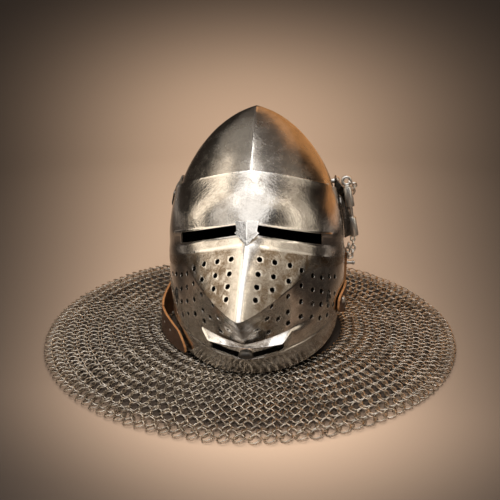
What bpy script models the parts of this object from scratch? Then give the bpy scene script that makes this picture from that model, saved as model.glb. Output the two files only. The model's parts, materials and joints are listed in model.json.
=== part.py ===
"""Pig-faced bascinet standing on its mail: a pointed skull with a snouted visor on two hinges.

The helmet is modelled facing -Y round its own upright axis, and an empty gives it its slight lean
on the mail. The visor, the hinges, their pins and chains hang on a second empty whose origin lies
on the axis through the two temple studs. Tables are in millimetres.
"""
import math

import bmesh
import bpy
from mathutils import Matrix, Vector

for old in list(bpy.context.scene.objects):
    bpy.data.objects.remove(old, do_unlink=True)

MM = 0.001

# driving dimensions, in millimetres and degrees
WALL = 2.0                # steel of the skull and the visor
GAP = 0.4                 # clearance between neighbouring pieces
HELMET_X = 11.5           # the helmet's axis stands off the middle of the mail
HELMET_Z = 2.2
HELMET_LEAN = -1.2        # degrees about Y: the point leans to -X
PIVOT_Y = 20.0            # the temple studs, behind the axis
PIVOT_Z = 184.0
MAIL_RADIUS = 257.0
MAIL_THICK = 4.2
LEATHER_THICK = 3.0
BREATH_RADIUS = 2.8
BOSS_HALF = 9.4           # half the width of the tab in the mouth, and how far it stands out
BOSS_RISE = 5.2
PIVOT = (0.0, PIVOT_Y, PIVOT_Z)
HEAD_SEAT = 97.4          # where a temple stud's head begins, out from the middle
PLAIN_HEAD_SEAT = 95.7    # the same on the side of the plain arm
APEX_Y = 21.5             # the skull's point
APEX_Z = 275.0
STEEL = (0.62, 0.60, 0.57)
STEEL_DARK = (0.42, 0.40, 0.38)
LEATHER = (0.12, 0.06, 0.035)

# skull, level by level: height, reach to the front and the back, half width, where it is widest,
# and how far its section is drawn out to a ridge
SKULL_LEVELS = [
    # height, front, back, half, middle, ridge
    (0.0, 100.0, 111.0, 92.5, -4.0, 0.02),
    (30.0, 102.0, 108.0, 96.8, -2.0, 0.03),
    (60.0, 104.0, 111.0, 101.0, 0.0, 0.04),
    (95.0, 105.5, 117.0, 103.5, 2.0, 0.05),
    (128.0, 106.5, 118.5, 102.5, 2.0, 0.06),
    (150.0, 107.0, 115.0, 100.0, 1.0, 0.07),
    (168.0, 103.0, 110.0, 96.5, 0.0, 0.09),
    (184.0, 92.0, 103.5, 91.5, -2.0, 0.11),
    (200.0, 78.5, 95.5, 85.0, -5.0, 0.14),
    (216.0, 62.0, 86.0, 76.0, -8.0, 0.17),
    (232.0, 44.5, 76.0, 64.5, -11.0, 0.20),
    (248.0, 24.5, 63.5, 49.5, -14.0, 0.23),
    (260.0, 7.0, 50.5, 34.0, -17.0, 0.26),
    (268.0, -6.5, 37.5, 20.0, -19.0, 0.30),
    (273.5, -18.0, 25.0, 6.0, -21.0, 0.34),
]
OPENING_TOP = 172.0       # the face opening's upper edge
OPENING_ANGLE = 60.0      # and its sides, in degrees from the front

# visor, line by line from the top: reach, half width, ridge, where it is widest, then the height
# at the front, at 45 and at 90 degrees, the slope at the front, and how sharp a crease it is and
# the angle where the crease has faded away. A line without a width lies over the skull: its reach
# is how far outside the skull it runs.
VISOR_LINES = {
    # name: (reach, half, ridge, middle, z0, z45, z90, slope, crease, fade)
    "top": (5.0, None, None, None, 214.0, 200.5, 181.0, -8.0, 0.0, 60.0),
    "brow": (4.4, None, None, None, 182.0, 165.5, 147.0, -24.0, 0.0, 60.0),
    "sight_top": (108.0, 106.0, 0.08, 10.0, 165.5, 143.5, 128.0, -37.0, 1.0, 70.0),
    "sight_low": (106.5, 106.5, 0.08, 10.0, 154.0, 132.5, 117.0, -36.0, 1.0, 62.0),
    "shelf": (116.0, 108.0, 0.12, 10.0, 145.5, 120.5, 104.0, -32.0, 1.0, 62.0),
    "snout": (188.0, 108.5, 0.75, 10.0, 87.5, 112.0, 90.0, 8.0, 1.0, 44.0),
    "crease": (142.0, 107.0, 0.12, 10.0, 40.5, 58.0, 64.0, 29.0, 0.8, 36.0),
    "chin": (147.0, 104.5, 0.10, 10.0, 29.5, 37.5, 46.0, 8.0, 0.7, 62.0),
    "rim": (139.0, 100.5, 0.0, 10.0, 4.5, 9.5, 24.0, 2.0, 0.0, 60.0),
}
# between the crease and the chin run the edge of the upper lip and both edges of the mouth slits:
# how far down from the crease to the chin each lies, and how far it stands out
MOUTH = [
    # angle, lip, lip_out, slit_top, slit_top_out, slit_low, slit_low_out
    (0.0, 0.10, 8.0, 0.24, 2.6, 0.66, 1.6),
    (4.0, 0.15, 8.3, 0.28, 2.8, 0.68, 1.7),
    (13.0, 0.31, 8.5, 0.42, 2.8, 0.74, 1.6),
    (22.0, 0.48, 7.6, 0.58, 2.4, 0.80, 1.2),
    (29.5, 0.08, 0.4, 0.40, 0.4, 0.75, 0.2),
    (38.0, 0.25, 0.0, 0.50, 0.0, 0.75, 0.0),
    (110.0, 0.25, 0.0, 0.50, 0.0, 0.75, 0.0),
]
LINE_ORDER = ["top", "brow", "sight_top", "sight_low", "shelf", "snout", "crease",
              "lip", "slit_top", "slit_low", "chin", "rim"]
LINE_STEPS = [3, 3, 1, 1, 5, 4, 1, 1, 1, 1, 2]          # cells between each two lines
VISOR_ANGLES = [0.0, 4.0, 7.0, 13.0, 18.0, 22.0, 29.5, 38.0, 48.5, 57.0, 66.0, 75.0, 84.0, 92.0, 99.0]
SIGHT = (7.0, 48.5)       # where each sight begins and ends, in degrees
SLIT = (4.0, 22.0)        # and each mouth slit
KEYSTONE = (7.0, 2.6)     # half angle and rise of the nose piece between the sights


def ease(a, b, x):
    """0 below a, 1 above b, and a smooth step between them."""
    f = min(max((x - a) / (b - a), 0.0), 1.0)
    return f * f * (3 - 2 * f)


def from_table(table, key):
    """The rest of a table's row at key, from its first column, by straight lines."""
    for low, high in zip(table, table[1:]):
        if key <= high[0]:
            f = max(key - low[0], 0.0) / (high[0] - low[0])
            return [a + (b - a) * f for a, b in zip(low[1:], high[1:])]
    return list(table[-1][1:])


def skull_level(z):
    """Front, back, half width, middle and ridge of the skull at a height, by smooth curves."""
    rows = SKULL_LEVELS
    z = min(max(z, rows[0][0]), rows[-1][0])
    i = max(k for k in range(len(rows) - 1) if rows[k][0] <= z)
    before, low, high, after = rows[max(i - 1, 0)], rows[i], rows[i + 1], rows[min(i + 2, len(rows) - 1)]
    span = high[0] - low[0]
    f = (z - low[0]) / span
    values = []
    for a, b, c, d in zip(before[1:], low[1:], high[1:], after[1:]):
        slope_low = (c - a) / (high[0] - before[0]) * span
        slope_high = (d - b) / (after[0] - low[0]) * span
        values.append(b * (2 * f**3 - 3 * f**2 + 1) + slope_low * (f**3 - 2 * f**2 + f)
                      + c * (3 * f**2 - 2 * f**3) + slope_high * (f**3 - f**2))
    return values


def section(angle, reach, half, ridge, middle):
    """Half a section: x to the side and distance to the front at an angle of up to 90 degrees."""
    sine, cosine = math.sin(angle), math.cos(angle)
    return half * sine, middle + (reach - middle) * ((1 - ridge) * cosine + ridge * (1 - sine))


def skull_point(angle, z, out=0.0):
    """A point of the skull's outer face, or out above it; angle is 0 at the front, in radians."""
    front, back, half, middle, ridge = skull_level(z)
    side = abs(angle)
    if side <= math.pi / 2:
        x, forward = section(side, front + out, half + out, ridge, middle)
    else:
        x, behind = section(math.pi - side, back + out, half + out, ridge, -middle)
        forward = -behind
    return Vector((math.copysign(x, angle), -forward, z))


def line_height(line, side):
    """Height of a visor line: it starts from z0 with its slope and passes z45 and z90."""
    z0, z45, z90, slope = line[4:8]
    w = min(side / (math.pi / 2), 1.1)
    half_way = z45 - z0 - slope * 0.5
    whole = z90 - z0 - slope
    cubic = (whole - 4 * half_way) * 2
    return z0 + slope * w + (whole - cubic) * w**2 + cubic * w**3


def visor_line(name, side):
    """Where a visor line is at an angle from the front: x, y and z."""
    line = VISOR_LINES[name]
    z = line_height(line, side)
    if line[1] is None:
        return skull_point(side - 0.1 * ease(1.0, 1.7, side), z, line[0])
    if side <= math.pi / 2:
        x, forward = section(side, *line[:4])
    else:
        x, forward = line[1], line[3] - (side - math.pi / 2) * line[1]
    return Vector((x, -forward, z))


def visor_profile(side, lip_rise=1.0):
    """The visor's lines from top to bottom at one angle; without lip_rise the mouth has no lip."""
    points = {name: visor_line(name, side) for name in VISOR_LINES}
    cheek = points["shelf"].lerp(points["crease"], 0.22)
    points["snout"] = points["snout"].lerp(cheek, ease(0.5, 1.0, side))
    away = Vector((math.sin(side), -math.cos(side), 0.0))
    lip, lip_out, top, top_out, low, low_out = from_table(MOUTH, math.degrees(side))
    for name, share, out in (("lip", lip, lip_out), ("slit_top", top, top_out), ("slit_low", low, low_out)):
        points[name] = points["crease"].lerp(points["chin"], share) + away * out * lip_rise
    return [points[name] for name in LINE_ORDER]


def crease_at(name, side):
    """1 where a line is a sharp crease, 0 where the plate runs smoothly over it."""
    if name in VISOR_LINES:
        crease, fade = VISOR_LINES[name][8:10]
    else:
        crease, fade = 1.0, 34.0
    return crease * (1 - ease(fade * 0.45, fade, math.degrees(side)))


def visor_point(angle, t, lip_rise=1.0):
    """A point of the visor's outer face; t counts the lines from the top."""
    side = abs(angle)
    points = visor_profile(side, lip_rise)
    i = min(int(t), len(points) - 2)
    f = t - i
    start, end = points[i], points[i + 1]
    chord = end - start
    slopes = []
    for k, name in ((i, LINE_ORDER[i]), (i + 1, LINE_ORDER[i + 1])):
        if 0 < k < len(points) - 1:
            before, after = points[k] - points[k - 1], points[k + 1] - points[k]
            a, b = before.length, after.length
            smooth = (before * (b / a) + after * (a / b)) / (a + b) * chord.length
            slopes.append(smooth.lerp(chord, crease_at(name, side)))
        else:
            slopes.append(chord)
    place = (start * (2 * f**3 - 3 * f**2 + 1) + slopes[0] * (f**3 - 2 * f**2 + f)
             + end * (3 * f**2 - 2 * f**3) + slopes[1] * (f**3 - f**2))
    half_angle, rise = KEYSTONE
    if 2 <= t <= 4:
        place.y -= rise * max(1 - math.degrees(side) / half_angle, 0.0) * (1 - ease(3.2, 4.0, t))
    place.x = math.copysign(place.x, angle)
    return place


# hinge, pin and chain on each side, in the helmet's own frame; x is for the +X side
HINGE_TOP = Vector((107.9, -1.0, 188.2))      # middle of the pin's ring
HINGE_FOOT = Vector((120.2, -1.0, 120.6))     # lower end of the barrel
HINGE_PLATE = 2.0
KNUCKLE_RADIUS = 5.0
LOW_KNUCKLE_RADIUS = 4.4
PIN_RADIUS = 2.0
RING_RADIUS = 5.2
RING_WIRE = 1.9
UPPER_KNUCKLE = (0.11, 0.46)                  # shares of the way from the top to the foot
LOWER_KNUCKLE = (0.66, 1.0)
ARM_STATIONS = [
    # y, x, low, high
    (27.5, 94.5, 181.5, 186.5),
    (25.0, 94.5, 178.4, 189.0),
    (20.0, 94.5, 177.0, 190.6),
    (14.0, 94.5, 175.0, 189.4),
    (8.0, 99.5, 168.0, 184.0),
    (3.0, 103.6, 150.0, 179.6),
    (-1.0, 105.6, 158.0, 179.6),
]
LEAF_STATIONS = [
    # y, out from the visor's face, low, high
    (-19.0, 0.5, 130.0, 166.0),
    (-14.0, 0.5, 122.0, 172.0),
    (-9.0, 1.2, 120.5, 170.0),
    (-5.0, 4.4, 121.0, 157.0),
    (-1.0, 9.0, 121.5, 142.5),
]
PLAIN_ARM_STATIONS = [
    # y, x, share of the visor's face in x, out from that face, low, high: the arm of the other side
    (27.0, 92.9, 0.0, 0.0, 181.5, 187.0),
    (24.5, 92.9, 0.0, 0.0, 178.5, 189.6),
    (20.0, 92.9, 0.0, 0.0, 177.4, 190.6),
    (15.0, 93.1, 0.0, 0.0, 178.2, 190.6),
    (11.6, 96.0, 0.0, 0.0, 172.5, 186.0),
    (8.4, 99.0, 1.0, 1.0, 163.0, 179.6),
    (4.0, 99.0, 1.0, 0.5, 158.0, 176.6),
    (-1.0, 99.0, 1.0, 0.4, 157.0, 176.0),
    (-5.0, 99.0, 1.0, 0.4, 160.0, 173.0),
]
STUD_RADIUS = 3.2
STUD_HEAD = (5.4, 3.4)                        # radius and rise of a stud's head
PLAIN_STUD_HEAD = (5.2, 2.0)
CHAIN_ROUTE = [
    # x, y, z: from the pin's ring, down behind the barrel and back up to its foot
    (113.4, -1.0, 186.2),
    (117.6, 2.4, 182.6),
    (116.6, 7.4, 175.0),
    (113.6, 9.6, 163.0),
    (114.0, 9.8, 148.0),
    (115.8, 9.0, 133.0),
    (117.6, 6.8, 119.0),
    (118.6, 3.2, 105.0),
    (117.2, 1.0, 95.4),
    (113.8, -1.0, 93.4),
    (111.8, -2.8, 100.0),
    (112.4, -4.0, 108.0),
    (113.2, -4.8, 115.0),
]
LINK_PITCH = 5.9
FIRST_PITCH = 6.4                             # from the first link, through the pin's ring, to the next
FIRST_LINK = (9.6, 9.6, 0.9)
LINK = (8.8, 6.2, 0.9)                        # length, width and wire radius

# leather: where its upper edge runs, how high its edges are, and how far the lower one stands out
BAND_STATIONS = [
    # x, y, low, high, lean
    (112.2, 6.4, 22.0, 94.0, -2.0),
    (111.6, 12.0, 14.0, 98.0, -2.0),
    (110.2, 21.0, 8.0, 97.0, -2.0),
    (109.0, 29.0, 6.0, 88.0, -2.0),
    (107.5, 36.0, 5.6, 46.0, -2.0),
    (103.0, 58.0, 5.4, 33.0, -1.0),
    (88.0, 85.0, 5.2, 30.0, 0.0),
    (60.0, 106.0, 5.2, 29.0, 0.0),
    (25.0, 117.5, 5.2, 29.0, 0.0),
    (-15.0, 119.0, 5.2, 29.0, 0.0),
    (-55.0, 110.0, 5.2, 30.0, 0.0),
    (-86.0, 89.0, 5.4, 33.0, 0.0),
    (-105.0, 62.0, 5.6, 42.0, 1.0),
    (-114.0, 34.0, 5.6, 52.0, 1.5),
    (-119.5, 8.0, 5.6, 47.0, 2.0),
    (-122.0, -14.0, 5.6, 38.5, 2.0),
    (-118.5, -34.0, 5.6, 36.5, 2.0),
]
RIGHT_END_STATIONS = [
    (-117.6, -37.5, 5.6, 36.4, 2.0),
    (-109.5, -56.0, 5.8, 35.5, 2.0),
    (-97.5, -76.0, 6.0, 33.0, 2.0),
    (-87.0, -91.5, 6.6, 30.5, 1.0),
    (-81.5, -99.0, 7.6, 25.0, 0.5),
    (-76.0, -106.0, 9.0, 15.0, 0.0),
]
LEFT_END_STATIONS = [
    (112.4, 2.4, 19.0, 60.0, -1.0),
    (111.6, -10.0, 24.0, 63.0, -1.0),
    (110.6, -22.0, 31.0, 65.0, -1.0),
    (108.6, -36.0, 37.0, 66.0, -0.5),
    (106.2, -47.0, 39.0, 65.5, -0.5),
    (103.0, -56.0, 43.0, 62.0, -0.5),
    (101.6, -60.0, 48.5, 57.0, -0.5),
]
# pegs round the skull's edge: angle from the front towards +X, height, reach out of the skull
VERVELLES = {
    "left_high": (99.0, 79.0, 20.5),
    "left_low": (118.0, 22.0, 14.0),
    "left_back": (146.0, 20.0, 14.0),
    "right_back": (-146.0, 20.0, 14.0),
    "right_low": (-118.0, 24.0, 14.0),
    "right_front": (-98.0, 27.0, 12.0),
}
VERVELLE_RADIUS = 3.1
LEATHER_HOLE = 3.6
MAIL_EDGE = [
    # angle from the front towards +X, distance of the mail's inner edge from the helmet's axis
    (-180.0, 115.5), (-150.0, 114.5), (-120.0, 113.0), (-105.0, 116.0), (-90.0, 118.0),
    (-75.0, 116.0), (-60.0, 112.0), (-30.0, 116.0), (0.0, 118.0), (30.0, 115.0), (60.0, 109.0),
    (90.0, 106.0), (120.0, 109.0), (150.0, 113.5), (180.0, 115.5),
]

# breaths on each side: a column's angle from the front, and the heights of its holes
BREATHS = [
    # angle, heights
    (8.0, (131.0, 119.0, 109.0, 99.0, 61.0)),
    (14.0, (74.0, 54.0)),
    (16.5, (126.0, 114.0, 103.0, 88.0)),
    (20.0, (68.0,)),
    (25.5, (120.0, 106.0, 91.0, 72.0, 59.0)),
    (33.0, (112.0, 97.0, 79.0, 62.0)),
    (40.5, (102.0, 87.0, 72.0, 57.0)),
    (47.5, (96.0, 81.0, 67.0, 52.0)),
    (55.0, (93.0, 76.0, 61.0, 50.0)),
    (62.0, (89.0, 70.0, 57.0)),
]


def finish_material(name, color, roughness, metallic):
    surface = bpy.data.materials.new(name)
    surface.use_nodes = True
    shader = surface.node_tree.nodes["Principled BSDF"]
    shader.inputs["Base Color"].default_value = (*color, 1.0)
    shader.inputs["Roughness"].default_value = roughness
    shader.inputs["Metallic"].default_value = metallic
    surface.diffuse_color = (*color, 1.0)
    return surface


def frame_empty(name, parent, place):
    empty = bpy.data.objects.new(name, None)
    bpy.context.scene.collection.objects.link(empty)
    empty.parent = parent
    empty.location = Vector(place) * MM
    return empty


def add_piece(name, bm, color, roughness, metallic, parent, origin=(0.0, 0.0, 0.0), smooth=40):
    """Make an object of a bmesh in millimetres, placed from the origin that its parent stands on."""
    bmesh.ops.translate(bm, vec=-Vector(origin), verts=bm.verts)
    bmesh.ops.scale(bm, vec=(MM, MM, MM), verts=bm.verts)
    mesh = bpy.data.meshes.new(name)
    bm.to_mesh(mesh)
    bm.free()
    mesh.shade_smooth()
    mesh.set_sharp_from_angle(angle=math.radians(smooth))
    mesh.materials.append(finish_material(name, color, roughness, metallic))
    piece = bpy.data.objects.new(name, mesh)
    bpy.context.scene.collection.objects.link(piece)
    piece.parent = parent
    return piece


def add_boolean(piece, other, operation):
    """Cut another object out of a piece, or join it on; the other one stays as a hidden guide."""
    other.hide_render = True
    other.display_type = "WIRE"
    modifier = piece.modifiers.new(operation.lower(), "BOOLEAN")
    modifier.operation = operation
    modifier.solver = "EXACT"
    modifier.object = other


def sheet(columns, rows, point, hole=None):
    """A grid whose vertex at (column, row) lies at point(column, row), without the cells in hole."""
    bm = bmesh.new()
    across, along = len(columns) - 1, len(rows) - 1
    bmesh.ops.create_grid(bm, x_segments=across, y_segments=along, size=1.0)
    if hole:
        gone = []
        for face in bm.faces:
            middle = face.calc_center_median()
            i = int((middle.x + 1) / 2 * across)
            j = int((middle.y + 1) / 2 * along)
            if hole((columns[i] + columns[i + 1]) / 2, (rows[j] + rows[j + 1]) / 2):
                gone.append(face)
        bmesh.ops.delete(bm, geom=gone, context="FACES")
    for vert in bm.verts:
        i = round((vert.co.x + 1) / 2 * across)
        j = round((vert.co.y + 1) / 2 * along)
        vert.co = point(columns[i], rows[j])
    bm.normal_update()
    return bm


def thicken(bm, thickness, outside=False):
    """Close a sheet with a wall on the side of the helmet's axis, or on the other side."""
    outward = 0.0
    for face in bm.faces:
        middle = face.calc_center_median()
        outward += face.normal.dot(Vector((middle.x, middle.y, 0.0))) * face.calc_area()
    if (outward < 0) != outside:
        bmesh.ops.reverse_faces(bm, faces=bm.faces)
        bm.normal_update()
    bmesh.ops.solidify(bm, geom=bm.faces[:], thickness=thickness)


def in_between(values, steps):
    """Values with each gap between two of them cut into steps."""
    out = []
    for low, high, count in zip(values, values[1:], steps):
        out += [low + (high - low) * k / count for k in range(count)]
    return out + [values[-1]]


def smooth_row(table, t):
    """A row of a table between its rows: t counts them, along a smooth curve."""
    i = min(int(t), len(table) - 2)
    f = t - i
    rows = [table[max(i - 1, 0)], table[i], table[i + 1], table[min(i + 2, len(table) - 1)]]
    return [b + 0.5 * f * (c - a + f * (2 * a - 5 * b + 4 * c - d + f * (3 * (b - c) + d - a)))
            for a, b, c, d in zip(*rows)]


def rod(radius, start, end, sides, end_radius=None):
    """A closed round rod, or a cone, between two points."""
    bm = bmesh.new()
    way = Vector(end) - Vector(start)
    turn = way.to_track_quat("Z", "Y").to_matrix().to_4x4()
    bmesh.ops.create_cone(
        bm, cap_ends=True, segments=sides, radius1=radius, radius2=end_radius or radius, depth=way.length,
        matrix=Matrix.Translation((Vector(start) + Vector(end)) / 2) @ turn)
    return bm


def add_mesh(bm, other):
    """Put another bmesh into this one."""
    mesh = bpy.data.meshes.new("part")
    other.to_mesh(mesh)
    other.free()
    bm.from_mesh(mesh)
    bpy.data.meshes.remove(mesh)


def closed_ring(major, minor, around, sides, matrix, stretch=0.0):
    """A torus in the XY plane, pulled out along X by stretch, then placed by a matrix."""
    bm = bmesh.new()
    bmesh.ops.create_circle(bm, segments=sides, radius=minor, matrix=(
        Matrix.Translation((major, 0, 0)) @ Matrix.Rotation(math.pi / 2, 4, "X")))
    bmesh.ops.spin(bm, geom=bm.edges[:], cent=(0, 0, 0), axis=(0, 0, 1), angle=math.tau,
                   steps=around, use_merge=True)
    for vert in bm.verts:
        vert.co.x += math.copysign(stretch / 2, vert.co.x) if abs(vert.co.x) > minor * 0.2 else 0.0
    bmesh.ops.transform(bm, matrix=matrix, verts=bm.verts)
    bmesh.ops.recalc_face_normals(bm, faces=bm.faces)
    return bm


def mirrored(bm, side):
    """The same mesh for the +X side (1) or the -X side (-1)."""
    if side < 0:
        bmesh.ops.scale(bm, vec=(-1, 1, 1), verts=bm.verts)
        bmesh.ops.reverse_faces(bm, faces=bm.faces)
    return bm


def build_skull(helmet):
    angles = [math.radians(a) for a in range(-180, 181, 12)]
    levels = [0.0, 20.0, 40.0, 60.0, 80.0, 103.0, 128.0, 150.0, OPENING_TOP, 186.0, 201.0, 217.0,
              233.0, 247.5, 259.5, 268.0, 273.5, APEX_Z]

    def point(angle, z):
        return Vector((0.0, APEX_Y, APEX_Z)) if z == APEX_Z else skull_point(angle, z)

    def opening(angle, z):
        return z < OPENING_TOP and abs(angle) < math.radians(OPENING_ANGLE)

    bm = sheet(angles, levels, point, opening)
    bmesh.ops.remove_doubles(bm, verts=bm.verts, dist=0.01)
    thicken(bm, WALL)
    return add_piece("skull", bm, STEEL_DARK, 0.32, 1.0, helmet)


def in_sight(angle, t):
    return 2 < t < 3 and SIGHT[0] < abs(math.degrees(angle)) < SIGHT[1]


def in_mouth_slit(angle, t):
    return 8 < t < 9 and SLIT[0] < abs(math.degrees(angle)) < SLIT[1]


def line_at(angle, z):
    """Where, counted in lines, the visor passes a height at an angle."""
    low, high = 0.0, 10.0
    for _ in range(20):
        t = (low + high) / 2
        if visor_point(angle, t, 0.0).z > z:
            low = t
        else:
            high = t
    return low


def breath_places():
    """Angle and line place of every breath, on both sides."""
    for degrees, heights in BREATHS:
        for z in heights:
            for angle in (math.radians(degrees), -math.radians(degrees)):
                yield angle, line_at(angle, z)


def visor_normal(angle, t):
    """Outward normal of the visor at a place."""
    along = visor_point(angle + 0.01, t) - visor_point(angle - 0.01, t)
    down = visor_point(angle, t + 0.02) - visor_point(angle, t - 0.02)
    return down.cross(along).normalized()


def build_visor(axis):
    half = [math.radians(a) for a in VISOR_ANGLES]
    angles = [-a for a in reversed(half[1:])] + half
    lines = in_between(list(range(len(LINE_ORDER))), LINE_STEPS)
    shape, plain = (sheet(angles, lines, lambda a, t, rise=rise: visor_point(a, t, rise),
                          lambda a, t: in_sight(a, t) or in_mouth_slit(a, t)) for rise in (1.0, 0.0))
    thicken(plain, WALL)
    for vert, place in zip(plain.verts, shape.verts):
        vert.co = place.co
    shape.free()
    visor = add_piece("visor", plain, STEEL, 0.28, 1.0, axis, PIVOT)
    cutters = bmesh.new()
    for angle, t in breath_places():
        place, normal = visor_point(angle, t), visor_normal(angle, t)
        add_mesh(cutters, rod(BREATH_RADIUS, place - normal * 5, place + normal * 3, 6))
    add_boolean(visor, add_piece("breath_cutters", cutters, STEEL, 0.5, 1.0, axis, PIVOT), "DIFFERENCE")
    return visor


def build_mouth_boss(axis):
    """The low domed tab between the two mouth slits, standing on the chin."""
    foot = visor_point(0.0, 9.4)
    out = Vector((0.0, -1.0, 0.12))
    bm = rod(BOSS_HALF, foot + out * 0.7, foot + out * BOSS_RISE, 16, BOSS_HALF * 0.75)
    bmesh.ops.scale(bm, vec=(1.0, 1.0, 0.56), space=Matrix.Translation(-foot), verts=bm.verts)
    bmesh.ops.bisect_plane(bm, geom=bm.verts[:] + bm.edges[:] + bm.faces[:],
                           plane_co=foot + Vector((0.0, 0.0, -1.2)), plane_no=(0, 0, 1), clear_inner=True)
    bmesh.ops.holes_fill(bm, edges=[e for e in bm.edges if e.is_boundary])
    return add_piece("mouth_boss", bm, STEEL_DARK, 0.4, 1.0, axis, PIVOT)


def barrel_point(share):
    return HINGE_TOP.lerp(HINGE_FOOT, share)


def knuckle(radius, span):
    """A round knuckle between two shares of the barrel's length."""
    return rod(radius, barrel_point(span[0]), barrel_point(span[1]), 12)


def build_hinge(side, word, axis):
    """Arm with the upper knuckle, leaf with the lower one, and the pin with its ring."""
    low_to_high = [0.0, 0.5, 1.0]

    def arm_point(t, share):
        y, x, low, high = smooth_row(ARM_STATIONS, t)
        z = low + (high - low) * share
        return Vector((x + (PIVOT_Z - z) * 0.182 * ease(3.0, 5.0, t), y, z))

    def leaf_point(t, share):
        y, out, low, high = smooth_row(LEAF_STATIONS, t)
        z = low + (high - low) * share
        return Vector((visor_side_x(y, z) + out, y, z))

    steps = [k / 2 for k in range(2 * len(ARM_STATIONS) - 1)]
    arm = sheet(steps, low_to_high, arm_point)
    thicken(arm, HINGE_PLATE, outside=True)
    arm = add_piece(f"pivot_arm_{word}", mirrored(arm, side), STEEL_DARK, 0.35, 1.0, axis, PIVOT)
    upper = add_piece(f"upper_knuckle_{word}", mirrored(knuckle(KNUCKLE_RADIUS, UPPER_KNUCKLE), side),
                      STEEL, 0.3, 1.0, axis, PIVOT)
    add_boolean(arm, upper, "UNION")

    steps = [k / 2 for k in range(2 * len(LEAF_STATIONS) - 1)]
    leaf = sheet(steps, low_to_high, leaf_point)
    thicken(leaf, HINGE_PLATE, outside=True)
    leaf = add_piece(f"hinge_leaf_{word}", mirrored(leaf, side), STEEL_DARK, 0.35, 1.0, axis, PIVOT)
    lower = add_piece(f"lower_knuckle_{word}", mirrored(knuckle(LOW_KNUCKLE_RADIUS, LOWER_KNUCKLE), side),
                      STEEL, 0.3, 1.0, axis, PIVOT)
    add_boolean(leaf, lower, "UNION")

    bore = add_piece(f"pin_bore_{word}", mirrored(rod(PIN_RADIUS + GAP, barrel_point(0.05), barrel_point(1.1), 8), side),
                     STEEL, 0.5, 1.0, axis, PIVOT)
    hole = add_piece(f"stud_hole_{word}", mirrored(
        rod(STUD_RADIUS + GAP, (85.0, PIVOT_Y, PIVOT_Z), (108.0, PIVOT_Y, PIVOT_Z), 12), side),
        STEEL, 0.5, 1.0, axis, PIVOT)
    add_boolean(arm, bore, "DIFFERENCE")
    add_boolean(arm, hole, "DIFFERENCE")
    add_boolean(leaf, bore, "DIFFERENCE")

    pin = rod(PIN_RADIUS, barrel_point(0.055), barrel_point(1.02), 8)
    pin = add_piece(f"hinge_pin_{word}", mirrored(pin, side), STEEL, 0.25, 1.0, axis, PIVOT)
    ring = closed_ring(RING_RADIUS, RING_WIRE, 12, 6, Matrix.Translation(HINGE_TOP) @ Matrix.Rotation(math.pi / 2, 4, "X"))
    ring = add_piece(f"pin_ring_{word}", mirrored(ring, side), STEEL, 0.25, 1.0, axis, PIVOT)
    add_boolean(pin, ring, "UNION")


def build_plain_arm(side, word, axis):
    """The arm of the side that has no pin: a strap from the visor's flank to its stud."""
    def point(t, share):
        y, x, hug, out, low, high = smooth_row(PLAIN_ARM_STATIONS, t)
        z = low + (high - low) * share
        return Vector((x + (visor_side_x(y, z) + out - x) * hug, y, z))

    steps = [k / 2 for k in range(2 * len(PLAIN_ARM_STATIONS) - 1)]
    arm = sheet(steps, [0.0, 0.5, 1.0], point)
    thicken(arm, HINGE_PLATE, outside=True)
    arm = add_piece(f"pivot_arm_{word}", mirrored(arm, side), STEEL_DARK, 0.35, 1.0, axis, PIVOT)
    hole = add_piece(f"stud_hole_{word}", mirrored(
        rod(STUD_RADIUS + GAP, (85.0, PIVOT_Y, PIVOT_Z), (108.0, PIVOT_Y, PIVOT_Z), 12), side),
        STEEL, 0.5, 1.0, axis, PIVOT)
    add_boolean(arm, hole, "DIFFERENCE")


def visor_side_x(y, z):
    """How far the visor's flank reaches out at y and a height."""
    side = math.acos(min(max((-y - 10.0) / 98.0, -0.2), 1.0))
    return visor_point(side, line_at(side, z)).x


def chain_point(share):
    """A point along the chain's route, with share from 0 to 1."""
    return Vector(smooth_row(CHAIN_ROUTE, share * (len(CHAIN_ROUTE) - 1)))


def build_chain(side, word, axis):
    """Links along the route, each a quarter turn from the last, joined into one solid."""
    fine = [chain_point(k / 400) for k in range(401)]
    reach = [0.0]
    for a, b in zip(fine, fine[1:]):
        reach.append(reach[-1] + (b - a).length)
    count = int((reach[-1] - FIRST_PITCH) / LINK_PITCH)
    halves = [bmesh.new(), bmesh.new()]
    for k in range(count + 1):
        at = FIRST_PITCH + (k - 1) * LINK_PITCH if k else 0.0
        length, width, wire = LINK if k else FIRST_LINK
        i = max(n for n in range(401) if reach[n] <= at)
        way = (fine[min(i + 6, 400)] - fine[max(i - 6, 0)]).normalized()
        across = way.cross(Vector((0, 1, 0))).normalized()
        if k % 2 == 0:
            across = way.cross(across).normalized()
        turn = Matrix((way, across, way.cross(across))).transposed().to_4x4()
        major = width / 2 - wire
        link = closed_ring(major, wire, 6, 4, Matrix.Translation(fine[i]) @ turn, stretch=length - width)
        add_mesh(halves[k % 2], link)
    chain, other = (add_piece(f"{start}pin_chain_{word}", mirrored(half, side), STEEL, 0.3, 1.0, axis, PIVOT)
                    for start, half in zip(("", "odd_"), halves))
    add_boolean(chain, other, "UNION")


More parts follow.
